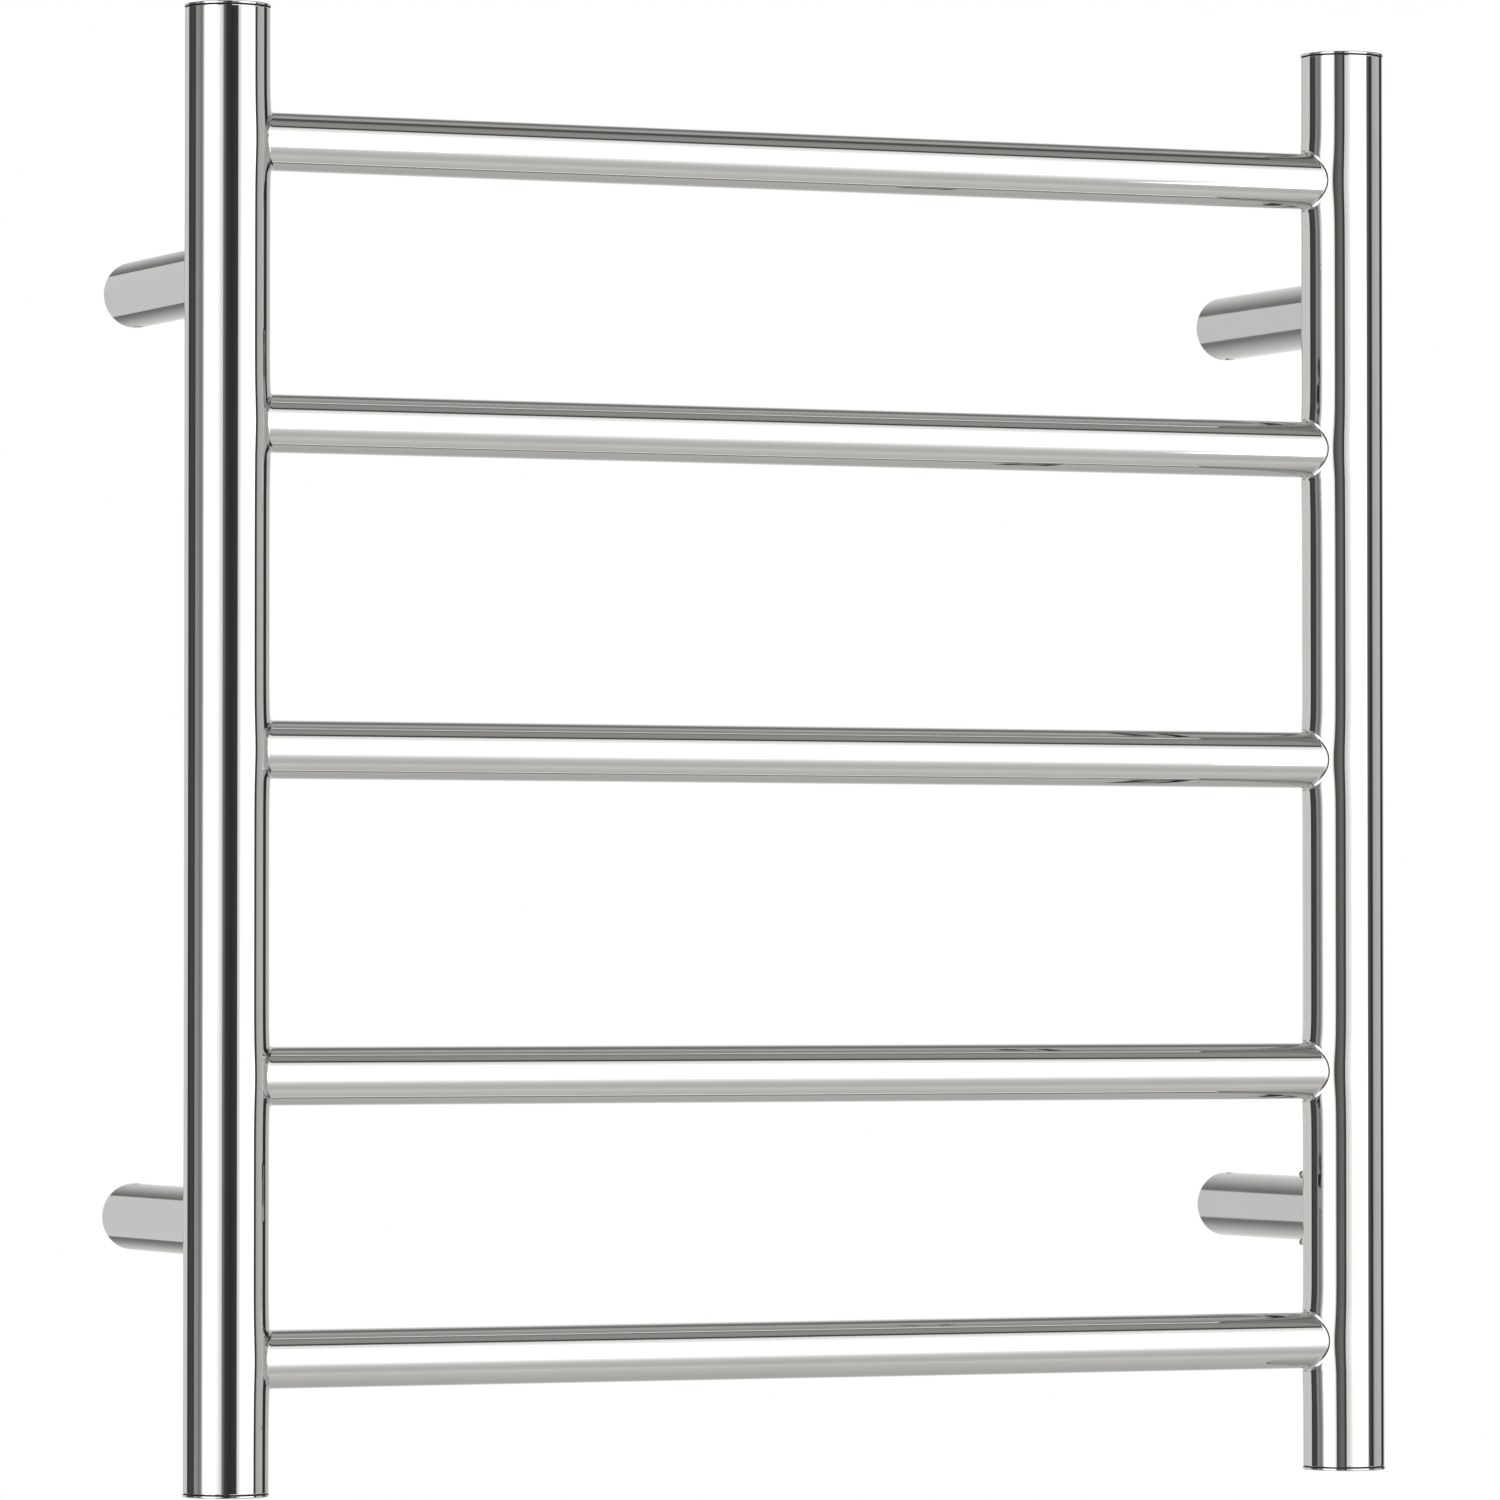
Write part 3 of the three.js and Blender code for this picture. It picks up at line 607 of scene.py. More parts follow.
def sweep(name, points, radius, sides):
    """A round cord along a list of points, with flat ends."""
    across, _ = axes_for(points[1] - points[0])
    rings = []
    for i, point in enumerate(points):
        ahead = points[min(i + 1, len(points) - 1)] - points[max(i - 1, 0)]
        direction = ahead.normalized()
        across = (across - direction * across.dot(direction)).normalized()
        other = direction.cross(across)
        rings.append([point + (across * math.cos(a) + other * math.sin(a)) * radius for a in turns(sides)])
    rings = [[points[0]] * sides] + rings + [[points[-1]] * sides]
    return clean(grid_object(name, np.array(rings, float), False))


def round_corners(route, radius):
    """Replaces each right-angled corner of a route with an arc."""
    points = [route[0]]
    for before, here, after in zip(route, route[1:], route[2:]):
        into = (before - here).normalized()
        out = (after - here).normalized()
        hub = here + (into + out) * radius
        for k in range(BEND_STEPS + 1):
            angle = math.pi / 2 * k / BEND_STEPS
            points.append(hub - out * radius * math.cos(angle) - into * radius * math.sin(angle))
    points.append(route[-1])
    return points


def cut(obj, *tools):
    """Subtracts closed tool objects from obj and removes them."""
    for tool in tools:
        modifier = obj.modifiers.new("cut", "BOOLEAN")
        modifier.operation = "DIFFERENCE"
        modifier.solver = "EXACT"
        modifier.object = tool
    bpy.context.view_layer.update()
    evaluated = obj.evaluated_get(bpy.context.evaluated_depsgraph_get())
    mesh = bpy.data.meshes.new_from_object(evaluated)
    obj.modifiers.clear()
    obj.data = mesh
    for tool in tools:
        bpy.data.objects.remove(tool)
    clean(obj)


# ---- materials

# Noise scales per metre, the share of the fine noise in the roughness, and the middle range of the noise.
DRIFT_SCALE = 35.0
WAVE_SCALE = 22.0
FINE_SHARE = 0.4
NOISE_RANGE = (0.3, 0.7)


def noise(tree, place, scale, detail):
    node = tree.nodes.new("ShaderNodeTexNoise")
    node.inputs["Scale"].default_value = scale
    node.inputs["Detail"].default_value = detail
    link(tree, place, node.inputs["Vector"])
    return node.outputs[0]


def stretched(tree, place, scales):
    node = tree.nodes.new("ShaderNodeMapping")
    node.inputs["Scale"].default_value = scales
    link(tree, place, node.inputs["Vector"])
    return node.outputs[0]


def bumped(tree, height, distance):
    node = tree.nodes.new("ShaderNodeBump")
    node.inputs["Strength"].default_value = 1.0
    node.inputs["Distance"].default_value = distance
    link(tree, height, node.inputs["Height"])
    return node.outputs["Normal"]


def procedural(name, colour, metallic, roughness, tint=0.03, spread=0.25, grain=None, bump=0.0,
               bump_scale=400.0, waviness=0.0):
    """A material whose colour and roughness drift over the surface, with grain, and either waves or bump.

    grain is a scale per axis that stretches the fine noise along the way the piece was polished.
    """
    material = bpy.data.materials.new(name)
    material.use_nodes = True
    tree = material.node_tree
    shader = tree.nodes["Principled BSDF"]
    shader.inputs["Metallic"].default_value = metallic
    place = tree.nodes.new("ShaderNodeTexCoord").outputs["Object"]

    drift = noise(tree, place, DRIFT_SCALE, 4.0)
    dark = (*(c * (1 - tint) for c in colour), 1)
    light = (*(min(1.0, c * (1 + tint)) for c in colour), 1)
    link(tree, mix_colour(tree, drift, dark, light), shader.inputs["Base Color"])

    fine_place = stretched(tree, place, grain) if grain else place
    fine = noise(tree, fine_place, 1.0 if grain else bump_scale, 3.0)
    blend = maths(tree, "ADD", maths(tree, "MULTIPLY", drift, 1 - FINE_SHARE),
                  maths(tree, "MULTIPLY", fine, FINE_SHARE))
    limits = (roughness * (1 - spread), roughness * (1 + spread))
    link(tree, map_range(tree, blend, NOISE_RANGE, limits), shader.inputs["Roughness"])

    if waviness:
        wave = noise(tree, place, WAVE_SCALE, 1.0)
        link(tree, bumped(tree, wave, waviness), shader.inputs["Normal"])
    if bump:
        link(tree, bumped(tree, fine, bump), shader.inputs["Normal"])
    return material


# For each material: colour, metallic, roughness, and what procedural takes by name.
STEEL = (0.665, 0.66, 0.652)
SATIN = (0.635, 0.634, 0.63)
RECIPES = {
    "post_steel": (STEEL, 1.0, 0.022, dict(tint=0.012, spread=0.45, grain=(60, 60, 1800), waviness=0.00001)),
    "rung_steel": (STEEL, 1.0, 0.022, dict(tint=0.012, spread=0.45, grain=(1800, 60, 60), waviness=0.00001)),
    "cap_steel": (STEEL, 1.0, 0.035, dict(tint=0.015, spread=0.4, bump=0.0000005)),
    # The cap's plug is near black: painted shade for the dark seam between cap and tube.
    "plug_painted_shade": ((0.07, 0.07, 0.071), 0.6, 0.55, dict(tint=0.15, bump=0.000006)),
    "sleeve_steel": (SATIN, 1.0, 0.085, dict(spread=0.35, grain=(90, 2600, 90), bump=0.000002)),
    "boss_steel": ((0.5, 0.5, 0.49), 1.0, 0.32, dict(tint=0.06, grain=(150, 5000, 150), bump=0.000006)),
    "set_screw_steel": ((0.018, 0.018, 0.019), 0.0, 0.42, dict(tint=0.3, bump=0.000006, bump_scale=2500.0)),
    "bright_screw": ((0.32, 0.32, 0.315), 1.0, 0.12, dict(tint=0.04, bump=0.000002, bump_scale=2500.0)),
    "brass": ((0.62, 0.44, 0.18), 1.0, 0.3, dict(tint=0.08, bump=0.000004)),
    "tinned_copper": ((0.58, 0.55, 0.5), 1.0, 0.28, dict(tint=0.08, bump=0.000004)),
    "black_rubber": ((0.02, 0.02, 0.021), 0.0, 0.62, dict(tint=0.2, bump=0.00002, bump_scale=1500.0)),
    "grey_silicone": ((0.16, 0.165, 0.17), 0.0, 0.5, dict(tint=0.1, bump=0.00001, bump_scale=1200.0)),
    "white_nylon": ((0.82, 0.81, 0.77), 0.0, 0.42, dict(bump=0.000012, bump_scale=1800.0)),
    "cable_sheath": ((0.42, 0.09, 0.045), 0.0, 0.5, dict(tint=0.1, bump=0.00001, bump_scale=1500.0)),
    "lead_sheath": ((0.03, 0.03, 0.032), 0.0, 0.5, dict(tint=0.15, bump=0.00001, bump_scale=1500.0)),
    "heat_shrink": ((0.022, 0.022, 0.024), 0.0, 0.4, dict(tint=0.2, bump=0.00002, bump_scale=700.0)),
    "live_wire": ((0.19, 0.08, 0.035), 0.0, 0.4, dict(tint=0.08, bump=0.000004)),
    "neutral_wire": ((0.03, 0.12, 0.46), 0.0, 0.4, dict(tint=0.08, bump=0.000004)),
    "earth_wire": ((0.1, 0.36, 0.06), 0.0, 0.4, dict(tint=0.08, bump=0.000004)),
}
MATERIALS = {
    name: procedural(name, colour, metallic, roughness, **others)
    for name, (colour, metallic, roughness, others) in RECIPES.items()
}


def finish_piece(obj, material, node, body="rail"):
    """Gives a piece its material and slot, makes it stand for its CAD node and ride on its body."""
    obj.data.materials.clear()
    obj.data.materials.append(MATERIALS[material])
    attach(obj, body)
    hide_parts(node)


# ---- coped tubes


def fillet_arc(angle, radius, post_radius):
    """Points of a weld fillet at one angle round a tube, from the tube's surface to the post's.

    They are (out, across, up): out along the tube from the post's axis, the other two square to it.
    """
    across = (radius + WELD_R) * math.cos(angle)
    up = (radius + WELD_R) * math.sin(angle)
    out = math.sqrt((post_radius + WELD_R) ** 2 - across ** 2)
    hub = np.array([out, across, up])
    start = np.array([0.0, -math.cos(angle), -math.sin(angle)])
    end = -np.array([out, across, 0.0]) / (post_radius + WELD_R)
    between = angle_between(start, end)
    points = []
    for k in range(WELD_STEPS + 1):
        t = k / WELD_STEPS
        aim = start * math.sin((1 - t) * between) + end * math.sin(t * between)
        points.append(hub + WELD_R * aim / math.sin(between))
    return points


def cope(radius, angle, post_radius):
    """How far from the post's axis a tube's surface meets the post's, at an angle round the tube."""
    return math.sqrt(post_radius ** 2 - (radius * math.cos(angle)) ** 2)


def tube_point(out, radius, angle):
    """The (out, across, up) place on a tube's surface at an angle round it."""
    return np.array([out, radius * math.cos(angle), radius * math.sin(angle)])


def welded_end(angle, radius, bore):
    """A tube's outer end, from its surface through the fillet and over the post's surface to its bore."""
    post_radius = POST_R + SWELL - SINK
    guard = 0.12 * MM
    arc = fillet_arc(angle, radius, post_radius)
    points = [tube_point(arc[0][0] + guard, radius, angle)] + arc
    for r in (radius, (radius + bore) / 2, bore):
        points.append(tube_point(cope(r, angle, post_radius - 2 * SINK), r, angle))
    return points


def coped_tube(name, sides, column, origin, out, sharp_degrees=SHARP):
    """A tube out from a post's axis, as one closed skin.

    column gives the tube's (out, across, up) points, from one end to the other, at an angle round it.
    """
    basis = np.array([out, Z_AXIS.cross(out), Z_AXIS])
    columns = [np.array(origin) + np.array(column(angle)) @ basis for angle in turns(sides)]
    return clean(grid_object(name, np.array(columns).transpose(1, 0, 2), True), sharp_degrees)


def make_rung(index):
    """A rung welded to both posts: one closed skin, outside, both ends and bore."""
    name = RUNGS[index]
    span = POST_X["right"] - POST_X["left"]
    first = POST_R + STRAIGHT_FROM
    straight = np.linspace(first, span - first, 11)

    def column(angle):
        end = np.array(welded_end(angle, RUNG_R, RUNG_BORE))
        other = end.copy()
        other[:, 0] = span - other[:, 0]
        outside = np.array([tube_point(out, RUNG_R, angle) for out in straight])
        return np.concatenate([end[::-1], outside, other])

    origin = (POST_X["left"], POST_Y, RUNG_Z[index])
    obj = coped_tube(name + "_tube", TUBE_SIDES, column, origin, X_AXIS, WELDED_SHARP)
    finish_piece(obj, "rung_steel", name)


# ---- posts


def swelling(out, across, up, radius):
    """How far the post's surface stands proud near a weld."""
    post_radius = POST_R + SWELL
    half_across = (radius + WELD_R) * post_radius / (post_radius + WELD_R)
    reach = np.sqrt((across / half_across) ** 2 + (up / (radius + WELD_R)) ** 2)
    beyond = np.maximum(reach - 1, 0) * radius
    fade = np.clip(out / SWELL_FADE, 0, 1)
    return SWELL * np.exp(-beyond / SWELL_REACH) * fade * fade * (3 - 2 * fade)


def post_heights(marks):
    """Row heights: close together near each weld, and far apart between them."""
    window = 26 * MM
    fine = 1 * MM
    coarse = 14 * MM
    high = TUBE_END - 0.4 * MM
    heights = [-high]
    while heights[-1] < high - 0.5 * fine:
        here = heights[-1]
        near = any(abs(here - mark) < window for mark in marks)
        ahead = [mark - window for mark in marks if mark - window > here + 1e-6]
        step = fine if near else min([coarse] + [max(a - here, fine) for a in ahead])
        heights.append(min(here + step, high))
    return heights


def post_end():
    """The post's upper end as (radius, height) pairs, from its outside over a slight lip to its bore."""
    lip = 0.16 * MM
    return [
        (POST_R, TUBE_END - lip * 1.2),
        (POST_R - 0.05 * MM, TUBE_END - lip / 2),
        (POST_R - lip, TUBE_END),
        (POST_BORE + lip, TUBE_END),
        (POST_BORE, TUBE_END - lip),
    ]


def make_post(side):
    """A post with the swellings round its welds, and holes for the cable inside it."""
    name = f"{side}_post"
    x = POST_X[side]
    inward = 1 if side == "left" else -1
    brackets = [BRACKET[c].z for c in CORNERS if c.endswith(side) and c != WIRED]
    angles = np.arange(POST_SIDES) * 2 * math.pi / POST_SIDES
    cos, sin = np.cos(angles), np.sin(angles)
    rows = []

    def add_row(radius, z):
        rows.append(np.stack([x + radius * cos, POST_Y + radius * sin, np.full(POST_SIDES, z)], 1))

    for z in post_heights(RUNG_Z + brackets):
        radius = np.full(POST_SIDES, POST_R)
        for rung in RUNG_Z:
            radius = radius + swelling(inward * POST_R * cos, POST_R * sin, z - rung, RUNG_R)
        for bracket in brackets:
            radius = radius + swelling(POST_R * sin, POST_R * cos, z - bracket, SLEEVE_R)
        add_row(radius, z)
    for way in (1, -1):
        for radius, z in post_end()[::way]:
            add_row(radius, way * z)
    obj = clean(grid_object(name + "_tube", np.array(rows), True), WELDED_SHARP)

    inside = 4 * MM
    hole = (CABLE_HOLE_R, inside, POST_R + OVERRUN)
    tools = [drill(*hole, Vector((x, POST_Y, z)), X_AXIS * inward, SMALL_SIDES) for z in RUNG_Z]
    if WIRED.endswith(side):
        tools.append(drill(*hole, Vector((x, POST_Y, BRACKET[WIRED].z)), Y_AXIS, SMALL_SIDES))
    cut(obj, *tools)
    finish_piece(obj, "post_steel", name)


# ---- end caps


def cap_outline():
    """Half a cap's section, from the plug's floor round its groove and over the rim to the dome's top."""
    floor = -0.6 * MM
    edge = 0.1 * MM
    groove_top = -GROOVE_DEPTH + GROOVE_WIDTH / 2
    groove_bottom = -GROOVE_DEPTH - GROOVE_WIDTH / 2
    rim_top = GAP + CAP_RIM
    outline = [
        (0, floor, 0),
        (PLUG_BORE, floor, 0.4 * MM),
        (PLUG_BORE, -PLUG_LENGTH, 0.3 * MM),
        (PLUG_R, -PLUG_LENGTH, PLUG_CHAMFER),
        (PLUG_R, groove_bottom, edge),
        (GROOVE_R, groove_bottom, edge),
        (GROOVE_R, groove_top, edge),
        (PLUG_R, groove_top, edge),
        (PLUG_R, CAP_SEAM, edge),
        (CAP_R, CAP_SEAM, 0.08 * MM),
        (CAP_R, rim_top, CAP_ROUND),
    ]
    dome_edge = CAP_R - DOME_INSET
    dome_rise = CAP_TOP - TUBE_END - rim_top
    for k in range(1, DOME_STEPS + 1):
        share = 1 - k / DOME_STEPS
        outline.append((dome_edge * share, rim_top + dome_rise * (1 - share ** DOME_POWER), 0))
    return rounded(outline)


def make_cap(corner):
    """A pressed cap: a thin domed disc with a rounded rim, and a hollow grooved plug inside the tube."""
    name = f"end_cap_{corner}"
    up = 1 if corner.startswith("upper") else -1
    x = POST_X[corner.split("_")[1]]
    place = Vector((x, POST_Y, up * TUBE_END))
    obj = revolve(name + "_pressing", cap_outline(), place, Z_AXIS * up, TUBE_SIDES)
    finish_piece(obj, "cap_steel", name)
    # The plug and the underside of the rim, down in the seam, take a near-black material: painted shade in
    # the seam.
    obj.data.materials.append(MATERIALS["plug_painted_shade"])
    for face in obj.data.polygons:
        from_axis = math.hypot(face.center.x - x, face.center.y - POST_Y)
        painted_shade_face = abs(face.center.z) < TUBE_END + CAP_SEAM + SINK and from_axis < CAP_R - 0.3 * MM
        face.material_index = 1 if painted_shade_face else 0

    section = SEAL_THICKNESS / 2
    ring = [(SEAL_R + section * math.cos(a), section * math.sin(a)) for a in turns(SEAL_SIDES)]
    seal_place = Vector((x, POST_Y, up * (TUBE_END - GROOVE_DEPTH)))
    seal = revolve(f"cap_seal_{corner}_ring", ring, seal_place, Z_AXIS, RING_SIDES, closed=True)
    finish_piece(seal, "grey_silicone", f"cap_seal_{corner}")


# ---- brackets


def outward_from(corner):
    """The way a bracket's set screw points: down from an upper bracket, up from a lower one."""
    return Z_AXIS * (-1 if corner.startswith("upper") else 1)


def sleeve_outline():
    """The sleeve's wall end, from its outside over the chamfer and through the mouth to its bore."""
    face = SLEEVE_FACE - POST_Y
    step = face - MOUTH_LENGTH
    mouth_edge = 0.15 * MM
    return rounded([
        (SLEEVE_R, POST_R + STRAIGHT_FROM, 0),
        (SLEEVE_R, face - SLEEVE_CHAMFER, 0.3 * MM),
        (SLEEVE_R - SLEEVE_CHAMFER, face, 0.25 * MM),
        (MOUTH_BORE + MOUTH_CHAMFER, face, mouth_edge),
        (MOUTH_BORE, face - MOUTH_CHAMFER, mouth_edge),
        (MOUTH_BORE, step, 0.2 * MM),
        (SLEEVE_BORE, step - MOUTH_TAPER, 0.2 * MM),
        (SLEEVE_BORE, POST_R + 6 * MM, 0),
    ])


def loose_end(angle):
    """The wired sleeve's end at the post, which is coped to it with a gap and not welded."""
    post_radius = POST_R + GAP
    edge = 0.2 * MM
    outside = cope(SLEEVE_R, angle, post_radius)
    return [
        tube_point(outside + 1.2 * edge, SLEEVE_R, angle),
        tube_point(outside + edge, SLEEVE_R, angle),
        tube_point(cope(SLEEVE_R - edge, angle, post_radius), SLEEVE_R - edge, angle),
        tube_point(cope(SLEEVE_BORE, angle, post_radius), SLEEVE_BORE, angle),
    ]


def set_screw_hole(corner):
    """The tool that cuts a set screw's hole, with its countersink, into a sleeve."""
    inside = 4 * MM
    outside = SLEEVE_R + 4 * MM
    hole_r = SET_SCREW_R + GAP
    sink = 0.35 * MM
    proud = 0.55 * MM
    flare = hole_r + sink + proud
    outline = [
        (0, inside),
        (hole_r, inside),
        (hole_r, SLEEVE_R - sink),
        (flare, SLEEVE_R + proud),
        (flare, outside),
        (0, outside),
    ]
    place = Vector((BRACKET[corner].x, SET_SCREW_Y, BRACKET[corner].z))
    return revolve("tool", outline, place, outward_from(corner), HOLE_SIDES)


def make_sleeve(corner):
    """A stand-off sleeve, welded to its post or, on the wired bracket, held by two small screws."""
    name = f"bracket_sleeve_{corner}"
    place = BRACKET[corner]
    outline = sleeve_outline()

    def column(angle):
        end = loose_end(angle) if corner == WIRED else welded_end(angle, SLEEVE_R, SLEEVE_BORE)
        return end[::-1] + [tube_point(out, radius, angle) for radius, out in outline]

    obj = coped_tube(name + "_tube", TUBE_SIDES, column, (place.x, POST_Y, place.z), Y_AXIS)
    tools = [set_screw_hole(corner)]
    if corner == WIRED:
        reach = SLEEVE_R + OVERRUN
        screw_place = Vector((place.x, RETAINING_Y, place.z))
        tools.append(drill(RETAINING_SHANK + GAP, -reach, reach, screw_place, Z_AXIS))
    cut(obj, *tools)
    finish_piece(obj, "sleeve_steel", name)


def hexagon(angle, across_flats):
    """The distance from a hexagon's middle to its side at an angle."""
    turn = (angle % (math.pi / 3)) - math.pi / 6
    return across_flats / 2 / math.cos(turn)


def make_set_screw(corner):
    """A threaded screw with a hexagonal socket and a cup point."""
    name = f"set_screw_{corner}"
    pitch = 0.8 * MM
    depth = 0.32 * MM
    lead_in = 0.35 * MM
    run_out = 0.6 * MM
    point_r = 1.7 * MM
    rows = 34
    low = SET_SCREW_LOW
    top = SET_SCREW_TOP
    socket = top - SOCKET_DEPTH
    cup = [(0, low + CUP_DEPTH), (CUP_R, low), (point_r, low)]
    thread = [(SET_SCREW_R, low + lead_in + (top - low - run_out) * k / rows) for k in range(rows + 1)]
    rim = [(SET_SCREW_R - lead_in, top), (1.6 * MM, top)]
    walls = [(SOCKET_FLATS / 2, top - 0.12 * MM), (SOCKET_FLATS / 2, socket)]
    thread_from = len(cup)
    thread_to = thread_from + len(thread)
    walls_from = thread_to + len(rim)
    walls_to = walls_from + len(walls)
    outline = cup + thread + rim + walls + [(0, socket - 0.5 * MM)]

    def shape(i, radius, height, angle):
        if thread_from <= i < thread_to:
            share = (height / pitch - angle / (2 * math.pi)) % 1
            ends = min(1.0, (height - low) / pitch, (top - height) / run_out)
            return radius - depth * abs(2 * share - 1) - 0.3 * MM * (1 - ends)
        if walls_from <= i < walls_to:
            return hexagon(angle, SOCKET_FLATS)
        return radius

    place = Vector((BRACKET[corner].x, SET_SCREW_Y, BRACKET[corner].z))
    obj = revolve(name + "_threaded", outline, place, outward_from(corner), SCREW_SIDES, shape=shape)
    finish_piece(obj, "set_screw_steel", name, name)


def make_retaining_screw(end):
    """A small dome-headed screw through the wired sleeve into the spigot."""
    name = f"retaining_screw_{end}"
    seat = RETAINING_SEAT
    top = seat + RETAINING_HEAD_HEIGHT
    flat = RETAINING_SOCKET_FLATS / 2
    head = rounded([
        (0, RETAINING_TIP, 0),
        (RETAINING_SHANK, RETAINING_TIP, 0.25 * MM),
        (RETAINING_SHANK, seat, 0),
        (RETAINING_HEAD, seat, 0.1 * MM),
        (RETAINING_HEAD, seat + 0.75 * RETAINING_HEAD_HEIGHT, 0.9 * MM),
        (0.62 * RETAINING_HEAD, top, 0.3 * MM),
        (0.8 * MM, top, 0),
    ])
    walls = [(flat, top - 0.08 * MM), (flat, seat + RETAINING_SOCKET_FLOOR)]
    walls_from = len(head)
    walls_to = walls_from + len(walls)
    outline = [*map(tuple, head), *walls, (0, seat + 0.7 * MM)]

    def shape(i, radius, height, angle):
        return hexagon(angle, RETAINING_SOCKET_FLATS) if walls_from <= i < walls_to else radius

    place = Vector((BRACKET[WIRED].x, RETAINING_Y, BRACKET[WIRED].z))
    outward = Z_AXIS * (1 if end == "top" else -1)
    obj = revolve(name + "_domed", outline, place, outward, SCREW_SIDES, shape=shape)
    finish_piece(obj, "bright_screw", name)


def make_boss(corner):
    """A turned plug on the wall: countersunk for one screw, or bored for the cable with holes for two
    screws.
    """
    name = f"wall_boss_{corner}"
    place = Vector((BRACKET[corner].x, 0, BRACKET[corner].z))
    wired = corner == WIRED
    edge = 0.15 * MM
    back = BOSS_BACK
    if wired:
        bore = CABLE_BORE
        inside = [(bore, back / 2, 0), (bore, back, 0.25 * MM)]
    else:
        bore = WALL_SCREW_HOLE
        sunk = back + WALL_SCREW_SINK
        inside = [
            (bore, back / 2, 0),
            (bore, sunk, 0.1 * MM),
            (WALL_SCREW_HEAD, sunk - COUNTERSINK_DEPTH, 0.1 * MM),
            (WALL_SCREW_HEAD, back, 0.2 * MM),
        ]
    outside = [
        (BOSS_R - BOSS_CHAMFER, back, edge),
        (BOSS_R, back + BOSS_CHAMFER, edge),
        (BOSS_R, 0, 0.12 * MM),
        (bore, 0, 0.2 * MM),
    ]
    points = rounded([*inside, *outside, inside[0]])[:-1]
    obj = revolve(name + "_turned", points, place, Y_AXIS, RING_SIDES, closed=True)
    if wired:
        hole_places = [place + Z_AXIS * way * SIDE_SCREW_OFFSET for way in (-1, 1)]
        cut(obj, *(drill(SIDE_SCREW_HOLE, back - 2 * MM, 2 * MM, hole, Y_AXIS) for hole in hole_places))
    finish_piece(obj, "boss_steel", name, "wall_fixing")


def make_grommet():
    """A rubber lining for the cable's bore, with a flange on the boss's front."""
    place = Vector((BRACKET[WIRED].x, 0, BRACKET[WIRED].z))
    face = BOSS_BACK - GAP
    front = face - GROMMET_FLANGE_THICKNESS
    outline = [
        (GROMMET_BORE, face + 4 * MM, 0),
        (GROMMET_BORE, front, 0.3 * MM),
        (GROMMET_FLANGE, front, 0.5 * MM),
        (GROMMET_FLANGE, face, 0.2 * MM),
        (GROMMET_R, face, 0.1 * MM),
        (GROMMET_R, face + GROMMET_LENGTH, 0.2 * MM),
        (GROMMET_BORE, face + GROMMET_LENGTH, 0.2 * MM),
        (GROMMET_BORE, face + 4 * MM, 0),
    ]
    obj = revolve("cable_grommet_moulded", rounded(outline)[:-1], place, Y_AXIS, RING_SIDES, closed=True)
    finish_piece(obj, "black_rubber", "cable_grommet", "wall_fixing")


# ---- inside the wired bracket and the tubes


def make_spigot():
    """The stub on the post that the wired sleeve fits over, with its cross hole and tapped hole."""
    place = BRACKET[WIRED]
    end = SPIGOT_END - POST_Y
    straight = POST_R + STRAIGHT_FROM
    tip = rounded([
        (SPIGOT_R, straight, 0),
        (SPIGOT_R, end, 0.4 * MM),
        (SPIGOT_BORE, end, 0.3 * MM),
        (SPIGOT_BORE, straight, 0),
    ])

    def column(angle):
        foot = [tube_point(cope(r, angle, POST_R + GAP), r, angle) for r in (SPIGOT_BORE, SPIGOT_R)]
        return foot + [tube_point(out, radius, angle) for radius, out in tip]

    obj = coped_tube("bracket_spigot_turned", RING_SIDES, column, (place.x, POST_Y, place.z), Y_AXIS)
    reach = 14 * MM
    screw_place = Vector((place.x, RETAINING_Y, place.z))
    lug_place = Vector((place.x, SPIGOT_END, place.z + LUG_OFFSET))
    cut(obj,
        drill(RETAINING_SHANK + GAP, -reach, reach, screw_place, Z_AXIS),
        drill(LUG_HOLE, -5 * MM, 2 * MM, lug_place, Y_AXIS))
    finish_piece(obj, "boss_steel", "bracket_spigot")


def lead_route(start, end_x, entry_z):
    """A lead's easy bend from the cable's end into its way in the terminal block."""
    block_back = BLOCK_Y - BLOCK_LENGTH / 2
    straight = block_back - LEAD_STRAIGHT
    steps = 16
    points = []
    for i in range(steps + 1):
        t = i / steps
        ease = t * t * (3 - 2 * t)
        points.append(Vector((start.x + (end_x - start.x) * ease, start.y + (straight - start.y) * t,
                              start.z + (entry_z - start.z) * ease)))
    points.append(Vector((end_x, block_back + LEAD_DEPTH, entry_z)))
    return points


def make_leads():
    """The three insulated wires, from the cable's end and the earth lug to the terminal block."""
    x = POST_X["right"]
    z = BRACKET[WIRED].z
    exit_y = SPIGOT_END - LEAD_END_GAP + GAP
    starts = {
        "live_wire": (Vector((x - LEAD_OFFSET, exit_y, z)), x - POLE_PITCH),
        "neutral_wire": (Vector((x + LEAD_OFFSET, exit_y, z)), x),
        "earth_wire": (Vector((x + 3.4 * MM, SPIGOT_END + 1.4 * MM, z + LUG_OFFSET - 3.2 * MM)),
                       x + POLE_PITCH),
    }
    for name, (start, end_x) in starts.items():
        route = lead_route(start, end_x, z - BLOCK_DROP)
        finish_piece(sweep(name + "_insulated", route, WIRE_R, WIRE_SIDES), name, name)


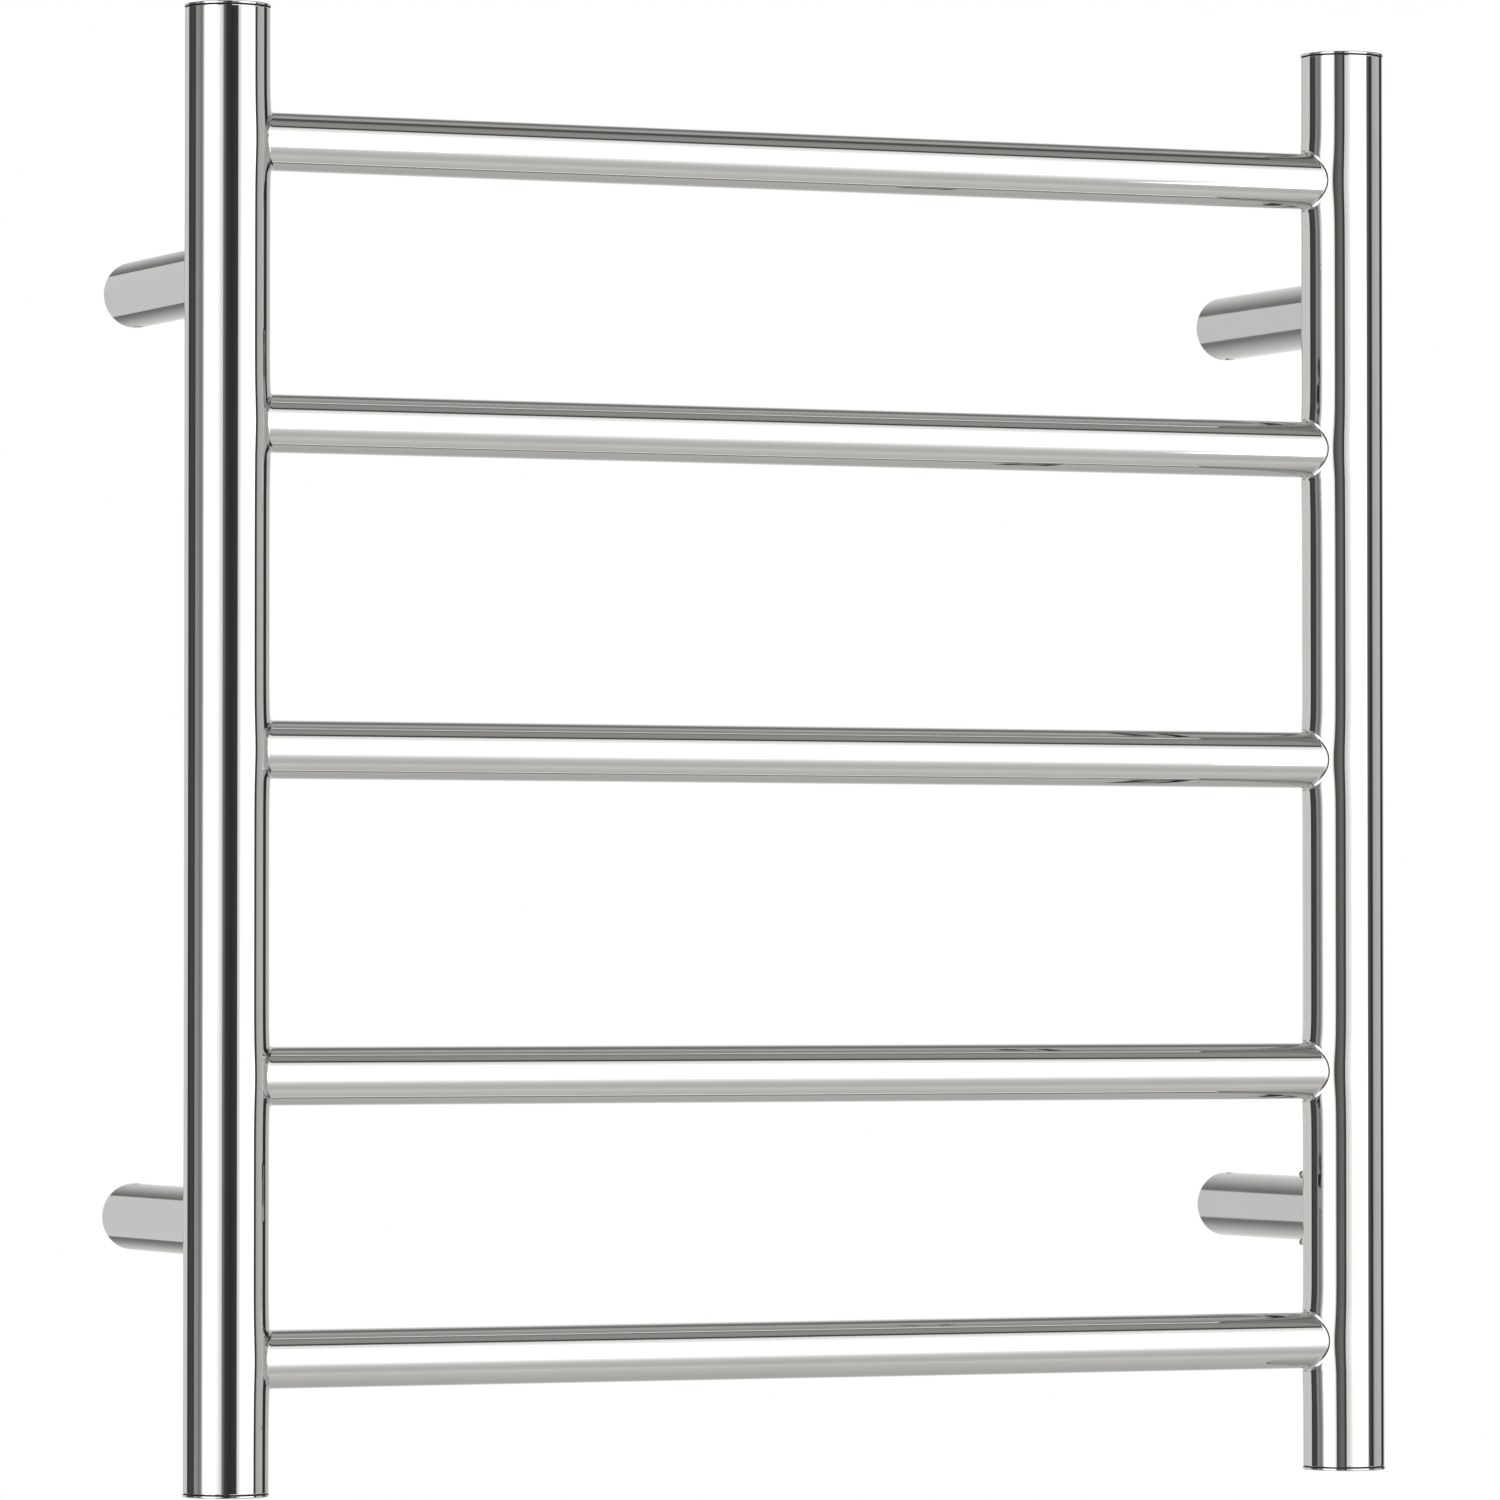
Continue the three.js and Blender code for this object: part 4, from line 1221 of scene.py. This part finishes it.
def make_cable():
    """The unheated lead, the joint, the heating cable through every rung, and its end."""
    right = POST_X["right"]
    z = BRACKET[WIRED].z
    joint_top = z - CABLE_BEND - JOINT_DROP
    joint_bottom = joint_top - JOINT_LENGTH
    cold = [
        Vector((right, SPIGOT_END - LEAD_END_GAP, z)),
        Vector((right, POST_Y, z)),
        Vector((right, POST_Y, joint_top + GAP)),
    ]
    lead = sweep("cold_lead_sheathed", round_corners(cold, CABLE_BEND), LEAD_R, CABLE_SIDES)
    finish_piece(lead, "lead_sheath", "cold_lead")
    neck = JOINT_R - JOINT_NECK
    joint = rounded([
        (0, joint_bottom, 0),
        (neck, joint_bottom, 0.3 * MM),
        (JOINT_R, joint_bottom + JOINT_TAPER, 2 * MM),
        (JOINT_R, joint_top - JOINT_TAPER, 2 * MM),
        (neck, joint_top, 0.3 * MM),
        (0, joint_top, 0),
    ])
    finish_piece(revolve("cold_joint_sleeved", joint, Vector((right, POST_Y, 0)), Z_AXIS),
                 "heat_shrink", "cold_joint")

    x = right
    route = [Vector((x, POST_Y, joint_bottom - GAP))]
    for height in reversed(RUNG_Z):
        route.append(Vector((x, POST_Y, height)))
        x = POST_X["left"] if x == right else right
        route.append(Vector((x, POST_Y, height)))
    stop = Vector((x, POST_Y, RUNG_Z[0] + CABLE_BEND + TERMINATION_RISE))
    route.append(stop)
    cable = sweep("heating_cable_sheathed", round_corners(route, CABLE_BEND), CABLE_R, CABLE_SIDES)
    finish_piece(cable, "cable_sheath", "heating_cable")
    cover_r = CABLE_R + TERMINATION_WALL
    cover = rounded([
        (0, GAP, 0),
        (cover_r, GAP, 0.3 * MM),
        (cover_r, TERMINATION_LENGTH - TERMINATION_TAPER, 1 * MM),
        (CABLE_R - TERMINATION_NOSE, TERMINATION_LENGTH, 0.5 * MM),
        (0, TERMINATION_LENGTH, 0),
    ])
    finish_piece(revolve("end_termination_sleeved", cover, stop, Z_AXIS),
                 "heat_shrink", "end_termination")


def make_earth_bond():
    """The ring of the earth lug on the spigot's end face, and the screw through it."""
    place = BRACKET[WIRED]
    origin = Vector((place.x, SPIGOT_END + GAP, place.z + LUG_OFFSET))
    edge = 0.12 * MM
    ring = rounded([
        (LUG_HOLE, LUG_THICKNESS / 2, 0),
        (LUG_HOLE, 0, edge),
        (LUG_R, 0, edge),
        (LUG_R, LUG_THICKNESS, edge),
        (LUG_HOLE, LUG_THICKNESS, edge),
        (LUG_HOLE, LUG_THICKNESS / 2, 0),
    ])
    lug = revolve("earth_lug_ring", ring[:-1], origin, Y_AXIS, closed=True)
    finish_piece(lug, "tinned_copper", "earth_lug")
    seat = LUG_THICKNESS + GAP
    top = seat + LUG_SCREW_HEAD_HEIGHT
    outline = rounded([
        (0, -LUG_SCREW_LENGTH, 0),
        (LUG_SCREW_SHANK, -LUG_SCREW_LENGTH, 0.3 * MM),
        (LUG_SCREW_SHANK, seat, 0),
        (LUG_SCREW_HEAD, seat, 0.1 * MM),
        (LUG_SCREW_HEAD - 0.1 * MM, top, 0.9 * MM),
        (0, top, 0),
    ])
    screw = revolve("earth_screw_headed", outline, origin, Y_AXIS)
    finish_piece(screw, "bright_screw", "earth_screw")


def make_terminals():
    """The block and its inserts are flat-sided and stay as CAD; the round screws are rebuilt."""
    kept = {"terminal_block": "white_nylon"}
    kept.update({f"terminal_insert_{i}": "brass" for i in (1, 2, 3)})
    for node, material in kept.items():
        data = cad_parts[node].data
        data.materials.clear()
        data.materials.append(MATERIALS[material])
    edge = 0.15 * MM
    for i in (1, 2, 3):
        for end in "ab":
            node = f"terminal_screw_{i}{end}"
            low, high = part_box(node)
            middle = (low + high) / 2
            radius = (high.x - low.x) / 2
            length = high.z - low.z
            outline = rounded([(0, 0, 0), (radius, 0, edge), (radius, length, edge), (0, length, 0)])
            obj = revolve(node + "_pin", outline, Vector((middle.x, middle.y, low.z)), Z_AXIS, DRILL_SIDES)
            slit = Vector((3 * radius, 0.3 * MM, 0.9 * MM))
            cut(obj, box_tool(Vector((middle.x, middle.y, high.z)), slit))
            finish_piece(obj, "bright_screw", node)


# ---- the whole scene

add_camera()
bpy.context.scene.view_settings.view_transform = "Standard"
add_world()
add_stage()

for post_side in ("left", "right"):
    make_post(post_side)
for rung_index in range(len(RUNGS)):
    make_rung(rung_index)
for corner_name in CORNERS:
    make_cap(corner_name)
    make_sleeve(corner_name)
    make_set_screw(corner_name)
    make_boss(corner_name)
for screw_end in ("top", "bottom"):
    make_retaining_screw(screw_end)
make_grommet()
make_spigot()
make_leads()
make_cable()
make_earth_bond()
make_terminals()
